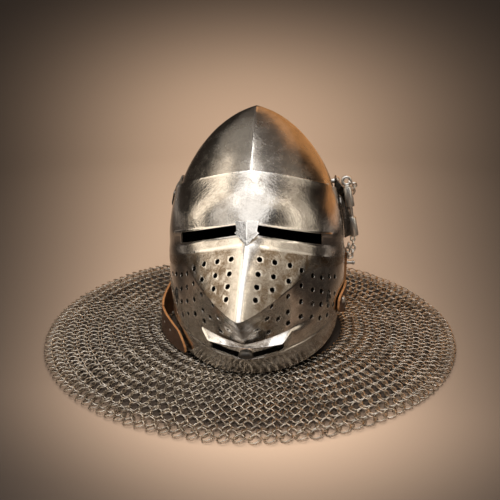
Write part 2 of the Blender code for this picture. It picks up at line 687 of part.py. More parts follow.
def build_stud(side, word, helmet, head_seat, head):
    """The rivet that an arm turns on: a shaft out of the skull and a domed head."""
    radius, rise = head
    seat = skull_point(math.radians(98.0), PIVOT_Z).x + GAP
    bm = bmesh.new()
    outline = [(seat, 0.0), (seat, STUD_RADIUS), (head_seat, STUD_RADIUS), (head_seat, radius),
               (head_seat + rise * 0.55, radius * 0.8), (head_seat + rise * 0.9, radius * 0.45), (head_seat + rise, 0.0)]
    verts = [bm.verts.new((x, PIVOT_Y, PIVOT_Z + r)) for x, r in outline]
    for a, b in zip(verts, verts[1:]):
        bm.edges.new((a, b))
    bmesh.ops.spin(bm, geom=bm.edges[:], cent=(0, PIVOT_Y, PIVOT_Z), axis=(1, 0, 0), angle=math.tau,
                   steps=12, use_merge=True)
    bmesh.ops.remove_doubles(bm, verts=bm.verts, dist=0.01)
    bmesh.ops.recalc_face_normals(bm, faces=bm.faces)
    return add_piece(f"pivot_stud_{word}", mirrored(bm, side), STEEL, 0.25, 1.0, helmet)


def leather_strip(stations, steps):
    """A strip of leather through its stations, with its wall on the inner side."""
    def point(t, share):
        x, y, low, high, lean = smooth_row(stations, t)
        out = Vector((x, y, 0.0)).normalized() * lean * (1 - share)
        return Vector((x, y, low + (high - low) * share)) + out

    count = (len(stations) - 1) * steps
    bm = sheet([k / steps for k in range(count + 1)], [0.0, 0.5, 1.0], point)
    thicken(bm, LEATHER_THICK)
    return bm


def build_leather(helmet):
    band = add_piece("leather_band", leather_strip(BAND_STATIONS, 2), LEATHER, 0.6, 0.0, helmet)
    add_piece("leather_end_left", leather_strip(LEFT_END_STATIONS, 2), LEATHER, 0.6, 0.0, helmet)
    add_piece("leather_end_right", leather_strip(RIGHT_END_STATIONS, 2), LEATHER, 0.6, 0.0, helmet)
    holes = bmesh.new()
    for angle, z, reach in VERVELLES.values():
        start, end = vervelle_ends(angle, z, reach)
        add_mesh(holes, rod(LEATHER_HOLE, start, end + (end - start), 10))
    add_boolean(band, add_piece("leather_holes", holes, LEATHER, 0.6, 0.0, helmet), "DIFFERENCE")


def vervelle_ends(angle, z, reach):
    """A peg's foot, just clear of the skull, and its outer end."""
    foot = skull_point(math.radians(angle), z)
    out = Vector((foot.x, foot.y - 8.0, 0.0)).normalized()
    return foot + out * GAP, foot + out * reach


def build_vervelles(helmet):
    for word, (angle, z, reach) in VERVELLES.items():
        start, end = vervelle_ends(angle, z, reach)
        add_piece(f"vervelle_{word}", rod(VERVELLE_RADIUS, start, end, 10), STEEL, 0.3, 1.0, helmet)


def build_mail():
    """The mail lying flat: from its uneven inner edge at the leather to its round rim."""
    def point(angle, share):
        inner = from_table(MAIL_EDGE, angle)[0]
        a = math.radians(angle)
        start = Vector((HELMET_X + inner * math.sin(a), -inner * math.cos(a), 0.0))
        end = Vector((MAIL_RADIUS * math.sin(a), -MAIL_RADIUS * math.cos(a), 0.0))
        return start.lerp(end, share)

    bm = sheet([float(a) for a in range(-180, 181, 6)], [0.0, 0.25, 0.6, 1.0], point)
    bmesh.ops.remove_doubles(bm, verts=bm.verts, dist=0.01)
    if sum(face.normal.z for face in bm.faces) < 0:
        bmesh.ops.reverse_faces(bm, faces=bm.faces)
    walls = bmesh.ops.extrude_face_region(bm, geom=bm.faces[:])
    top = [item for item in walls["geom"] if isinstance(item, bmesh.types.BMVert)]
    bmesh.ops.translate(bm, vec=(0, 0, MAIL_THICK), verts=top)
    bmesh.ops.recalc_face_normals(bm, faces=bm.faces)
    return add_piece("aventail_mail", bm, (0.22, 0.21, 0.19), 0.45, 1.0, None, smooth=20)


helmet = frame_empty("helmet", None, (HELMET_X, 0.0, HELMET_Z))
helmet.rotation_euler = (0.0, math.radians(HELMET_LEAN), 0.0)
visor_axis = frame_empty("visor_axis", helmet, PIVOT)
build_skull(helmet)
build_visor(visor_axis)
build_mouth_boss(visor_axis)
build_stud(1, "left", helmet, HEAD_SEAT, STUD_HEAD)
build_hinge(1, "left", visor_axis)
build_chain(1, "left", visor_axis)
build_stud(-1, "right", helmet, PLAIN_HEAD_SEAT, PLAIN_STUD_HEAD)
build_plain_arm(-1, "right", visor_axis)
build_leather(helmet)
build_vervelles(helmet)
build_mail()
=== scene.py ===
"""Looks of the pig-faced bascinet: fine plates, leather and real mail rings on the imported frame.

Helmet shapes are worked out in the helmet's own millimetres, facing -Y, and the joint's record says
how the helmet leans; the mail is worked out flat, round the middle of the frame.
"""
import json
import math
import random

import bmesh
import bpy
from mathutils import Matrix, Vector


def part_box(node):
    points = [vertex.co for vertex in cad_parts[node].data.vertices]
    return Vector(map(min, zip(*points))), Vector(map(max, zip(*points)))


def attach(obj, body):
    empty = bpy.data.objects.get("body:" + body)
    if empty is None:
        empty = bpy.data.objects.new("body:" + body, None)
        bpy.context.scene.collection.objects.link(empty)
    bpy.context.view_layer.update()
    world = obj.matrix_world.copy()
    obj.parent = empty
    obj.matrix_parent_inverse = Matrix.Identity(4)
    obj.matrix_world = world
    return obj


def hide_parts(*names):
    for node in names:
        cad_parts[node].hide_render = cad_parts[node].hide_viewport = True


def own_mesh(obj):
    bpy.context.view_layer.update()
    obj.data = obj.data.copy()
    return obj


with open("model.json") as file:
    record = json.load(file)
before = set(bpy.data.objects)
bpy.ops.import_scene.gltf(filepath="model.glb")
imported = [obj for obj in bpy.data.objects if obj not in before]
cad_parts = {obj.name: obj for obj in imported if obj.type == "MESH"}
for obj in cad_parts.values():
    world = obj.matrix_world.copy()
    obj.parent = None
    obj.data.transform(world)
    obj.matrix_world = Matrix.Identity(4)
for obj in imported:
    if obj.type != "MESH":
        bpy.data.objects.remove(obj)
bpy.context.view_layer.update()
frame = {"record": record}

MM = 0.001

# the frame's own places: the joint through the temple studs gives the helmet's lean and stand
PIVOT_LOCAL = Vector((0.0, 20.0, 184.0))
JOINT = frame["record"]["behaviour"]["joints"][0]
LEAN = -math.atan2(-JOINT["axis"][2], -JOINT["axis"][0])
TURN = Matrix.Rotation(LEAN, 4, "Y")
STAND = Vector(JOINT["pos_m"]) / MM - TURN @ PIVOT_LOCAL
HELMET = Matrix.Scale(MM, 4) @ Matrix.Translation(STAND) @ TURN
MAIL_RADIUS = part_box("aventail_mail")[1].x / MM

WALL = 2.0
LEATHER_THICK = 3.0


def ease(a, b, x):
    """0 below a, 1 above b, and a smooth step between them."""
    f = min(max((x - a) / (b - a), 0.0), 1.0)
    return f * f * (3 - 2 * f)


def from_table(table, key):
    """The rest of a table's row at key, from its first column, by straight lines."""
    for low, high in zip(table, table[1:]):
        if key <= high[0]:
            f = max(key - low[0], 0.0) / (high[0] - low[0])
            return [a + (b - a) * f for a, b in zip(low[1:], high[1:])]
    return list(table[-1][1:])


def facing(angle):
    """The level direction at an angle from the front towards +X."""
    return Vector((math.sin(angle), -math.cos(angle), 0.0))


def curve_through(a, slope_a, b, slope_b, f):
    """The curve from a to b that starts and ends with the given slopes."""
    return (a * (2 * f**3 - 3 * f**2 + 1) + slope_a * (f**3 - 2 * f**2 + f)
            + b * (3 * f**2 - 2 * f**3) + slope_b * (f**3 - f**2))


def smooth_row(table, t):
    """A row of a table between its rows: t counts them, along a smooth curve."""
    i = min(int(t), len(table) - 2)
    f = t - i
    rows = [table[max(i - 1, 0)], table[i], table[i + 1], table[min(i + 2, len(table) - 1)]]
    return [b + 0.5 * f * (c - a + f * (2 * a - 5 * b + 4 * c - d + f * (3 * (b - c) + d - a)))
            for a, b, c, d in zip(*rows)]


# ---------------------------------------------------------------- camera, floor and lights

CAMERA_LENS = (43.742, 36.0)      # focal length and sensor width in millimetres
CAMERA_PLACE = (0.07562, -0.71946, 0.34585)
CAMERA_TURN = (71.324, 0.0, 6.0)  # in degrees
# a pool of light is painted into the paper's colour, from PAPER in its middle down to PAPER_DARK, and so
# is a shade under the mail
PAPER = (0.80, 0.62, 0.49)
PAPER_DARK = (0.026, 0.023, 0.022)
SHADE_PAINTED_UNDER_MAIL = 0.06        # what is left of the paper's tone in the shade painted under the mail
MAIL_SHADE = (-0.030, 0.004)      # from where to where, past the mail's rim, the painted shade gives way to the paper's own tone
POOL_TURN = 0.117        # how far the painted pool's middle line turns with the camera
POOL_WIDTH = 0.472       # half the pool's width beside the helmet
POOL_WIDENING = 0.50     # and how much it grows towards the wall, from the narrowest place on
POOL_NARROWEST = -0.32
POOL_RISE = 1.3          # how soon it fades up the wall
POOL_FRONT = 0.174       # where it begins to close in front, and how soon it is closed
POOL_CLOSING = 3.7
PAINTED_POOL_TONES = [(0.0, 0.80), (0.14, 0.74), (0.29, 0.59), (0.43, 0.39),
              (0.57, 0.22), (0.71, 0.10), (0.86, 0.03), (1.0, 0.01)]
AIR_COLOR = (0.30, 0.25, 0.21, 1.0)
AIR_STRENGTH = 0.36
WASHES = [
    # name, place, what it is turned to, size, power; they light the paper and show in no steel
    ("back_wash", (0.0, 0.75, 1.9), (-0.1, 1.1, 0.0), (1.2, 0.8), 34.0),
    ("front_wash", (0.05, -0.56, 0.62), (0.03, -0.34, 0.0), (0.4, 0.25), 5.0),
]
WASH_COLOR = (1.0, 0.86, 0.72)
LIT_POINT = Vector((0.01, -0.03, 0.18))
LAMPS = [
    # name, degrees from the front towards +X, rise, distance, size, strength, colour
    ("key", -2.0, 49.0, 1.05, (0.98, 1.18), 1.46, (1.0, 0.98, 0.96)),
    ("card_middle", -48.0, 30.0, 1.0, (0.34, 1.16), 1.1, (1.0, 0.93, 0.84)),
    ("card_left", -80.0, 29.0, 1.0, (0.40, 1.12), 1.7, (1.0, 0.87, 0.70)),
    ("card_right", 66.0, 28.0, 1.0, (0.78, 1.14), 0.62, (1.0, 0.87, 0.70)),
    ("strip_right", 60.0, 30.0, 0.95, (0.09, 1.00), 1.7, (1.0, 0.90, 0.74)),
    ("warm_card", 152.0, 31.0, 1.1, (0.90, 1.36), 0.68, (1.0, 0.46, 0.16)),
    ("warm_low", 126.0, 3.0, 1.1, (0.46, 0.36), 0.45, (1.0, 0.44, 0.15)),
    ("overhead", -98.0, 60.0, 1.2, (0.80, 0.66), 0.27, (1.0, 0.93, 0.82)),
    ("crest_strip", 0.0, 84.0, 1.2, (0.06, 0.46), 5.5, (1.0, 0.98, 0.94)),
    ("brow_card", -3.0, 78.0, 1.15, (0.46, 0.24), 1.4, (1.0, 0.98, 0.95)),
    ("low_left", -122.0, -5.0, 1.15, (0.90, 0.12), 0.26, (1.0, 0.88, 0.77)),
    ("low_right", 120.0, -5.0, 1.15, (0.90, 0.12), 0.34, (1.0, 0.88, 0.77)),
]


def put_in_scene(name, data):
    """A new object with this data, linked to the scene."""
    thing = bpy.data.objects.new(name, data)
    bpy.context.scene.collection.objects.link(thing)
    return thing


def set_camera():
    """One camera, in front of the helmet and a little to the wearer's left."""
    data = bpy.data.cameras.new("camera")
    data.lens, data.sensor_width = CAMERA_LENS
    camera = put_in_scene("camera", data)
    camera.location = CAMERA_PLACE
    camera.rotation_euler = [math.radians(degrees) for degrees in CAMERA_TURN]
    bpy.context.scene.camera = camera


def paper_with_painted_light():
    """Pale paper with a pool of light painted into its colour: it falls off sideways, up the wall and in
    front, and a painted shade lies under the mail.
    """
    surface, tree, shader = start_material("paper_with_painted_pool")
    place = object_place(tree)
    axes = tree.nodes.new("ShaderNodeSeparateXYZ")
    tree.links.new(place, axes.inputs[0])
    x, y, z = axes.outputs
    middle = plus(tree, x, times(tree, y, POOL_TURN))
    back = larger(tree, y, POOL_NARROWEST)
    width = plus(tree, times(tree, back, POOL_WIDENING), POOL_WIDTH)
    aside = calculate(tree, "DIVIDE", middle, width)
    up = times(tree, z, POOL_RISE)
    ahead = calculate(tree, "SUBTRACT", -POOL_FRONT, y)
    front = times(tree, larger(tree, ahead, 0.0), POOL_CLOSING)
    total = times(tree, aside, aside)
    for part in (up, front):
        total = plus(tree, total, times(tree, part, part))
    reach = calculate(tree, "SQRT", total, 0.0)
    # the painted pool of light
    curve = tree.nodes.new("ShaderNodeValToRGB")
    curve.color_ramp.interpolation = "B_SPLINE"
    points = curve.color_ramp.elements
    points.remove(points[1])
    for at, tone in PAINTED_POOL_TONES:
        point = points.new(at) if at else points[0]
        point.color = (tone, tone, tone, 1.0)
    tree.links.new(reach, curve.inputs["Fac"])
    # the painted shade under the mail
    apart = tree.nodes.new("ShaderNodeVectorMath")
    apart.operation = "LENGTH"
    tree.links.new(place, apart.inputs[0])
    inner, outer = (MAIL_RADIUS * MM + step for step in MAIL_SHADE)
    shade = ramp(tree, apart.outputs["Value"], inner, outer, SHADE_PAINTED_UNDER_MAIL, 1.0)
    tone = times(tree, curve.outputs["Color"], shade)
    tree.links.new(mix_colors(tree, tone, PAPER_DARK, PAPER), shader.inputs["Base Color"])
    shader.inputs["Roughness"].default_value = 0.9
    shader.inputs["Specular IOR Level"].default_value = 0.0
    return surface


def place_lamp(name, size, power, color, place, aim):
    """A soft lamp that the camera does not see."""
    data = bpy.data.lights.new(name, "AREA")
    data.shape = "RECTANGLE"
    data.size, data.size_y = size
    data.energy = power
    data.color = color
    lamp = put_in_scene(name, data)
    lamp.location = place
    lamp.rotation_euler = (aim - place).to_track_quat("-Z", "Y").to_euler()
    lamp.visible_camera = False
    return lamp


def build_studio():
    """A round floor that sweeps up into a wall, the lamps round it, and the air's own glow."""
    flat, bend, top = 1.25, 0.9, 2.4
    outline = [(0.0, 0.0), (0.0, flat)]
    for a in [math.radians(9 * k) for k in range(1, 11)]:
        outline.append((bend - bend * math.cos(a), flat + bend * math.sin(a)))
    outline.append((top, flat + bend))
    bm = spun(outline, 72)
    bmesh.ops.remove_doubles(bm, verts=bm.verts, dist=1e-5)
    bmesh.ops.recalc_face_normals(bm, faces=bm.faces)
    mesh = bpy.data.meshes.new("floor")
    bm.to_mesh(mesh)
    bm.free()
    mesh.shade_smooth()
    mesh.materials.append(paper_with_painted_light())
    floor = put_in_scene("floor", mesh)

    for name, degrees, rise, distance, size, strength, color in LAMPS:
        way = facing(math.radians(degrees)) * math.cos(math.radians(rise))
        way.z = math.sin(math.radians(rise))
        power = strength * math.pi * size[0] * size[1]
        lamp = place_lamp(name, size, power, color, LIT_POINT + way * distance, LIT_POINT)
        lamp.visible_diffuse = name == "key"
    for name, place, aim, size, power in WASHES:
        lamp = place_lamp(name, size, power, WASH_COLOR, Vector(place), Vector(aim))
        lamp.visible_glossy = False
    world = bpy.data.worlds.new("studio")
    world.use_nodes = True
    background = world.node_tree.nodes["Background"]
    background.inputs["Color"].default_value = AIR_COLOR
    background.inputs["Strength"].default_value = AIR_STRENGTH
    bpy.context.scene.world = world
    bpy.context.scene.view_settings.view_transform = "Standard"


# ---------------------------------------------------------------- finishes

MARKS = ("wear_and_highlight", "grime_and_shade", "peel")      # what a marked plate's vertices carry: rubbed brightness with painted highlights, dirt with painted shade, and orange peel


def new_group(name, inputs, outputs):
    """An empty shader node group with named sockets: a number is a value, a tuple a colour."""
    group = bpy.data.node_groups.new(name, "ShaderNodeTree")
    for label, value in inputs:
        kind = "NodeSocketColor" if isinstance(value, tuple) else "NodeSocketFloat"
        socket = group.interface.new_socket(label, in_out="INPUT", socket_type=kind)
        socket.default_value = (*value, 1.0) if isinstance(value, tuple) else value
    for label, kind in outputs:
        group.interface.new_socket(label, in_out="OUTPUT", socket_type=kind)
    return group, group.nodes.new("NodeGroupInput"), group.nodes.new("NodeGroupOutput")


def noise(tree, coordinates, scale, detail=3.0, rough=0.55, distortion=0.0):
    node = tree.nodes.new("ShaderNodeTexNoise")
    node.inputs["Scale"].default_value = scale
    node.inputs["Detail"].default_value = detail
    node.inputs["Roughness"].default_value = rough
    node.inputs["Distortion"].default_value = distortion
    tree.links.new(coordinates, node.inputs["Vector"])
    return node.outputs["Fac"]


def ramp(tree, value, low, high, to_low=0.0, to_high=1.0):
    """The value spread from low..high to to_low..to_high, and held at the ends."""
    node = tree.nodes.new("ShaderNodeMapRange")
    node.inputs["From Min"].default_value = low
    node.inputs["From Max"].default_value = high
    node.inputs["To Min"].default_value = to_low
    node.inputs["To Max"].default_value = to_high
    tree.links.new(value, node.inputs["Value"])
    return node.outputs["Result"]


def calculate(tree, operation, a, b=0.5):
    node = tree.nodes.new("ShaderNodeMath")
    node.operation = operation
    for socket, value in zip(node.inputs, (a, b)):
        if isinstance(value, (int, float)):
            socket.default_value = value
        else:
            tree.links.new(value, socket)
    return node.outputs["Value"]


def plus(tree, a, b):
    return calculate(tree, "ADD", a, b)


def times(tree, a, b):
    return calculate(tree, "MULTIPLY", a, b)


def larger(tree, a, b):
    return calculate(tree, "MAXIMUM", a, b)


def mix_colors(tree, factor, a, b):
    node = tree.nodes.new("ShaderNodeMix")
    node.data_type = "RGBA"
    for label, value in (("Factor_Float", factor), ("A_Color", a), ("B_Color", b)):
        socket = next(s for s in node.inputs if s.identifier == label)
        if isinstance(value, tuple):
            socket.default_value = (*value, 1.0)
        else:
            tree.links.new(value, socket)
    return next(s for s in node.outputs if s.identifier == "Result_Color")


def bump(tree, height, distance):
    node = tree.nodes.new("ShaderNodeBump")
    node.inputs["Strength"].default_value = 1.0
    node.inputs["Distance"].default_value = distance
    tree.links.new(height, node.inputs["Height"])
    return node.outputs["Normal"]


def object_place(tree):
    return tree.nodes.new("ShaderNodeTexCoord").outputs["Object"]


def stretched(tree, coordinates, scale):
    """Coordinates scaled by different amounts each way."""
    node = tree.nodes.new("ShaderNodeMapping")
    node.inputs["Scale"].default_value = scale
    tree.links.new(coordinates, node.inputs["Vector"])
    return node.outputs["Vector"]


def attribute(tree, name):
    node = tree.nodes.new("ShaderNodeAttribute")
    node.attribute_name = name
    return node.outputs["Fac"]


def hammered_group():
    """Old hand-worked steel: mottled colour, uneven polish, hammer marks, pits and fine scratches."""
    group, put_in, put_out = new_group("hammered_steel", [
        ("Bright", (0.6, 0.58, 0.54)), ("Stain", (0.3, 0.25, 0.2)), ("Stain Amount", 0.5),
        ("Hammering", 1.0), ("Peel", 0.3), ("Polish", 0.25), ("Grime_and_shade", 0.0), ("Wear_and_highlight", 0.0),
    ], [
        ("Color", "NodeSocketColor"), ("Roughness", "NodeSocketFloat"), ("Height", "NodeSocketFloat"),
    ])
    place = object_place(group)
    take = put_in.outputs

    clouds = noise(group, place, 34.0, 5.0, 0.62, 0.5)
    blotches = noise(group, place, 150.0, 5.0, 0.68, 0.6)
    stain = times(group, ramp(group, clouds, 0.40, 0.68), ramp(group, blotches, 0.32, 0.66))
    speckles = ramp(group, noise(group, place, 700.0, 4.0, 0.75), 0.52, 0.70, 0.0, 0.75)
    speckles = times(group, speckles, ramp(group, blotches, 0.35, 0.60, 0.25, 1.0))
    stain = times(group, larger(group, stain, speckles), take["Stain Amount"])
    patches = ramp(group, noise(group, place, 75.0, 5.0, 0.7, 0.4), 0.34, 0.66, 0.35, 1.45)
    grain = ramp(group, noise(group, place, 520.0, 3.0, 0.7), 0.35, 0.65, 0.7, 1.25)
    # dirt in patches; the same mark carries the painted shade under the snout
    grime_and_shade = times(group, times(group, take["Grime_and_shade"], patches), grain)
    stain = calculate(group, "MINIMUM", larger(group, stain, grime_and_shade), 1.0)
    stain = times(group, stain, ramp(group, take["Wear_and_highlight"], 0.0, 1.0, 1.0, 0.15))
    color = mix_colors(group, stain, take["Bright"], take["Stain"])
    # where this mark is high the colour is painted pale: partly rubbed steel, partly a painted highlight
    color = mix_colors(group, times(group, take["Wear_and_highlight"], 0.85), color, (0.86, 0.83, 0.79))

    dimples = group.nodes.new("ShaderNodeTexVoronoi")
    dimples.feature = "SMOOTH_F1"
    dimples.inputs["Scale"].default_value = 130.0
    dimples.inputs["Smoothness"].default_value = 1.0
    group.links.new(stretched(group, place, (1.0, 1.0, 0.8)), dimples.inputs["Vector"])
    waves = noise(group, place, 62.0, 2.0, 0.45)
    height = plus(group, times(group, dimples.outputs["Distance"], 0.07), times(group, waves, 0.34))
    height = times(group, height, take["Hammering"])
    peel = times(group, noise(group, place, 400.0, 3.0, 0.55), 0.17)
    height = plus(group, height, times(group, peel, take["Peel"]))
    pits = ramp(group, noise(group, place, 900.0, 2.0, 0.6), 0.64, 0.74, 0.0, -0.04)
    fine = noise(group, stretched(group, place, (900.0, 900.0, 60.0)), 1.0, 3.0, 0.6)
    scratches = ramp(group, fine, 0.55, 0.75, 0.0, 0.012)
    height = plus(group, plus(group, height, pits), scratches)

    uneven = ramp(group, noise(group, place, 60.0, 5.0, 0.65), 0.3, 0.7, -0.05, 0.09)
    roughness = plus(group, take["Polish"], uneven)
    roughness = plus(group, roughness, times(group, stain, 0.12))
    roughness = calculate(group, "SUBTRACT", roughness, times(group, take["Wear_and_highlight"], 0.06))
    group.links.new(color, put_out.inputs["Color"])
    group.links.new(roughness, put_out.inputs["Roughness"])
    group.links.new(height, put_out.inputs["Height"])
    return group


def start_material(name):
    surface = bpy.data.materials.new(name)
    surface.use_nodes = True
    tree = surface.node_tree
    return surface, tree, tree.nodes["Principled BSDF"]


def feed(tree, shader, color, height, relief):
    """Give a shader its colour and its bumps."""
    tree.links.new(color, shader.inputs["Base Color"])
    tree.links.new(bump(tree, height, relief), shader.inputs["Normal"])


def steel_finish(name, bright, stain, amount, hammering, polish, relief=0.0011, marked=False, ringed=None):
    """Steel from the hammered group. Marked plates carry their own rubbed brightness with painted
    highlights, dirt with painted shade, and orange peel, and mail carries a tone for each ring, towards
    the colour given as ringed."""
    surface, tree, shader = start_material(name)
    node = tree.nodes.new("ShaderNodeGroup")
    node.node_tree = HAMMERED
    for label, value in (("Bright", bright), ("Stain", stain)):
        node.inputs[label].default_value = (*value, 1.0)
    for label, value in (("Stain Amount", amount), ("Hammering", hammering), ("Polish", polish)):
        node.inputs[label].default_value = value
    if marked:
        for label in MARKS:
            tree.links.new(attribute(tree, label), node.inputs[label.capitalize()])
    color = node.outputs["Color"]
    if ringed:
        color = mix_colors(tree, attribute(tree, "ring_tone"), color, ringed)
    feed(tree, shader, color, node.outputs["Height"], relief)
    tree.links.new(node.outputs["Roughness"], shader.inputs["Roughness"])
    shader.inputs["Metallic"].default_value = 1.0
    return surface


def painted_dark_inside():
    """Nearly black inner faces of the plates: painted shade for the helmet's inside."""
    surface, tree, shader = start_material("inside_painted_dark")
    place = object_place(tree)
    cloud = noise(tree, place, 60.0, 5.0, 0.6)
    amount = ramp(tree, cloud, 0.3, 0.7)
    color = mix_colors(tree, amount, (0.020, 0.017, 0.014), (0.055, 0.045, 0.037))
    feed(tree, shader, color, cloud, 0.0008)
    shader.inputs["Metallic"].default_value = 0.6
    shader.inputs["Roughness"].default_value = 0.7
    return surface


def leather_finish(name, dark, light, edge=False):
    """Oiled hide with a fine pebbled grain, or its raw cut edge with fibres along it."""
    surface, tree, shader = start_material(name)
    place = object_place(tree)
    cloud = noise(tree, place, 70.0, 5.0, 0.6, 0.5)
    scuffs = noise(tree, place, 320.0, 4.0, 0.7)
    amount = ramp(tree, cloud, 0.35, 0.7, 0.0, 0.65)
    amount = plus(tree, amount, ramp(tree, scuffs, 0.5, 0.75, 0.0, 0.6))
    grain = tree.nodes.new("ShaderNodeTexVoronoi")
    grain.inputs["Scale"].default_value = 900.0
    fibres = stretched(tree, place, (1.0, 1.0, 5.0)) if edge else place
    tree.links.new(fibres, grain.inputs["Vector"])
    height = plus(tree, grain.outputs["Distance"], times(tree, scuffs, 0.8))
    feed(tree, shader, mix_colors(tree, amount, dark, light), height, 0.0005 if edge else 0.00035)
    tree.links.new(ramp(tree, scuffs, 0.3, 0.7, 0.42, 0.62), shader.inputs["Roughness"])
    return surface


HAMMERED = hammered_group()
SKULL_STEEL = steel_finish("skull_steel", (0.56, 0.53, 0.49), (0.27, 0.22, 0.17), 0.75, 0.6, 0.20,
                           marked=True)
VISOR_STEEL = steel_finish("visor_steel", (0.64, 0.61, 0.57), (0.22, 0.165, 0.115), 0.70, 0.8, 0.16,
                           marked=True)
HINGE_STEEL = steel_finish("hinge_steel", (0.92, 0.89, 0.85), (0.34, 0.29, 0.24), 0.30, 0.15, 0.34)
HINGE_DARK = steel_finish("hinge_dark", (0.22, 0.205, 0.19), (0.10, 0.08, 0.06), 0.6, 0.4, 0.24)
DARK_STEEL = steel_finish("dark_steel", (0.12, 0.11, 0.10), (0.06, 0.05, 0.04), 0.6, 0.5, 0.36)
INSIDE = painted_dark_inside()
LEATHER = leather_finish("oiled_leather", (0.050, 0.022, 0.011), (0.150, 0.066, 0.030))
LEATHER_EDGE = leather_finish("leather_edge", (0.30, 0.13, 0.05), (0.52, 0.27, 0.11), edge=True)
MAIL_STEEL = steel_finish("mail_wire", (0.86, 0.78, 0.68), (0.14, 0.115, 0.088), 0.8, 0.15, 0.24,
                          relief=0.0003, ringed=(0.29, 0.25, 0.205))


# ---------------------------------------------------------------- making pieces

def add_piece(name, bm, materials, body, replaced=(), matrix=HELMET, smooth=38, bevel=0.0):
    """Put a bmesh in its place in the frame, ride it on its body and give it its finishes."""
    bmesh.ops.transform(bm, matrix=matrix, verts=bm.verts)
    mesh = bpy.data.meshes.new(name)
    bm.to_mesh(mesh)
    bm.free()
    mesh.shade_smooth()
    mesh.set_sharp_from_angle(angle=math.radians(smooth))
    for surface in materials:
        mesh.materials.append(surface)
    piece = put_in_scene(name, mesh)
    if bevel:
        modifier = piece.modifiers.new("rounded_edges", "BEVEL")
        modifier.width = bevel * MM
        modifier.segments = 2
        modifier.limit_method = "ANGLE"
        modifier.angle_limit = math.radians(smooth)
        modifier.use_clamp_overlap = False
        modifier.harden_normals = True
    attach(piece, body)
    if replaced:
        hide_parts(*replaced)
    return piece


def grid_sheet(columns, rows, hole=None):
    """A grid with a vertex at each column and row, without the cells that are in the hole."""
    bm = bmesh.new()
    across, along = len(columns) - 1, len(rows) - 1
    bmesh.ops.create_grid(bm, x_segments=across, y_segments=along, size=1.0)
    if hole:
        gone = []
        for face in bm.faces:
            middle = face.calc_center_median()
            i = int((middle.x + 1) / 2 * across)
            j = int((middle.y + 1) / 2 * along)
            if hole((columns[i] + columns[i + 1]) / 2, (rows[j] + rows[j + 1]) / 2):
                gone.append(face)
        bmesh.ops.delete(bm, geom=gone, context="FACES")
    for vert in bm.verts:
        i = round((vert.co.x + 1) / 2 * across)
        j = round((vert.co.y + 1) / 2 * along)
        vert.co = (columns[i], rows[j], 0.0)
    return bm


def shape_sheet(bm, point):
    for vert in bm.verts:
        vert.co = point(vert.co.x, vert.co.y)
    bm.normal_update()


def thicken(sheet, thickness, outside=False):
    """Close a sheet with a wall on the side of the helmet's axis, or on the other side. The new
    mesh starts with the sheet's own vertices, in their order."""
    bm = bmesh.new()
    add_mesh(bm, sheet)
    bm.normal_update()
    outward = 0.0
    for face in bm.faces:
        middle = face.calc_center_median()
        outward += face.normal.dot(Vector((middle.x, middle.y, 0.0))) * face.calc_area()
    if (outward < 0) != outside:
        bmesh.ops.reverse_faces(bm, faces=bm.faces)
        bm.normal_update()
    number = bm.verts.layers.int.new("number")
    straight = []
    for k, vert in enumerate(bm.verts):
        vert[number] = k
        straight.append((vert.co.copy(), vert.co - vert.normal * thickness))
    bmesh.ops.solidify(bm, geom=bm.faces[:], thickness=thickness)
    for vert in bm.verts[:][len(straight):]:
        outer, inner = straight[vert[number]]
        if (vert.co - outer).length > thickness * 1.6:
            vert.co = inner
    bm.verts.layers.int.remove(number)
    return bm


def in_between(values, steps):
    """Values with each gap between two of them cut into steps: (count, pull), where a pull over 1
    gathers them at the gap's start and one under -1 at its end."""
    out = []
    for low, high, (count, pull) in zip(values, values[1:], steps):
        for k in range(count):
            f = k / count
            f = f ** pull if pull > 0 else 1 - (1 - f) ** -pull
            out.append(low + (high - low) * f)
    return out + [values[-1]]


def add_mesh(bm, other):
    """Put another bmesh into this one."""
    mesh = bpy.data.meshes.new("part")
    other.to_mesh(mesh)
    other.free()
    bm.from_mesh(mesh)
    bpy.data.meshes.remove(mesh)


def mirrored(bm, side):
    """The same mesh for the +X side (1) or the -X side (-1)."""
    if side < 0:
        bmesh.ops.scale(bm, vec=(-1, 1, 1), verts=bm.verts)
        bmesh.ops.reverse_faces(bm, faces=bm.faces)
    return bm


def spin_round(bm, steps):
    """Spin all edges full circle round Z."""
    bmesh.ops.spin(bm, geom=bm.edges[:], cent=(0, 0, 0), axis=(0, 0, 1), angle=math.tau,
                   steps=steps, use_merge=True)


def spun(outline, steps):
    """The outline's (distance along, radius) pairs spun round Z."""
    bm = bmesh.new()
    verts = [bm.verts.new((radius, 0.0, along)) for along, radius in outline]
    for a, b in zip(verts, verts[1:]):
        bm.edges.new((a, b))
    spin_round(bm, steps)
    return bm


def turned(outline, start, way, sides):
    """A closed turned piece, its outline's distances measured along a line from start."""
    bm = spun(outline, sides)
    bmesh.ops.remove_doubles(bm, verts=bm.verts, dist=0.001)
    ends = [e for e in bm.edges if e.is_boundary]
    if ends:
        bmesh.ops.holes_fill(bm, edges=ends)
    bmesh.ops.recalc_face_normals(bm, faces=bm.faces)
    turn = Vector(way).to_track_quat("Z", "Y").to_matrix().to_4x4()
    bmesh.ops.transform(bm, matrix=Matrix.Translation(start) @ turn, verts=bm.verts)
    return bm


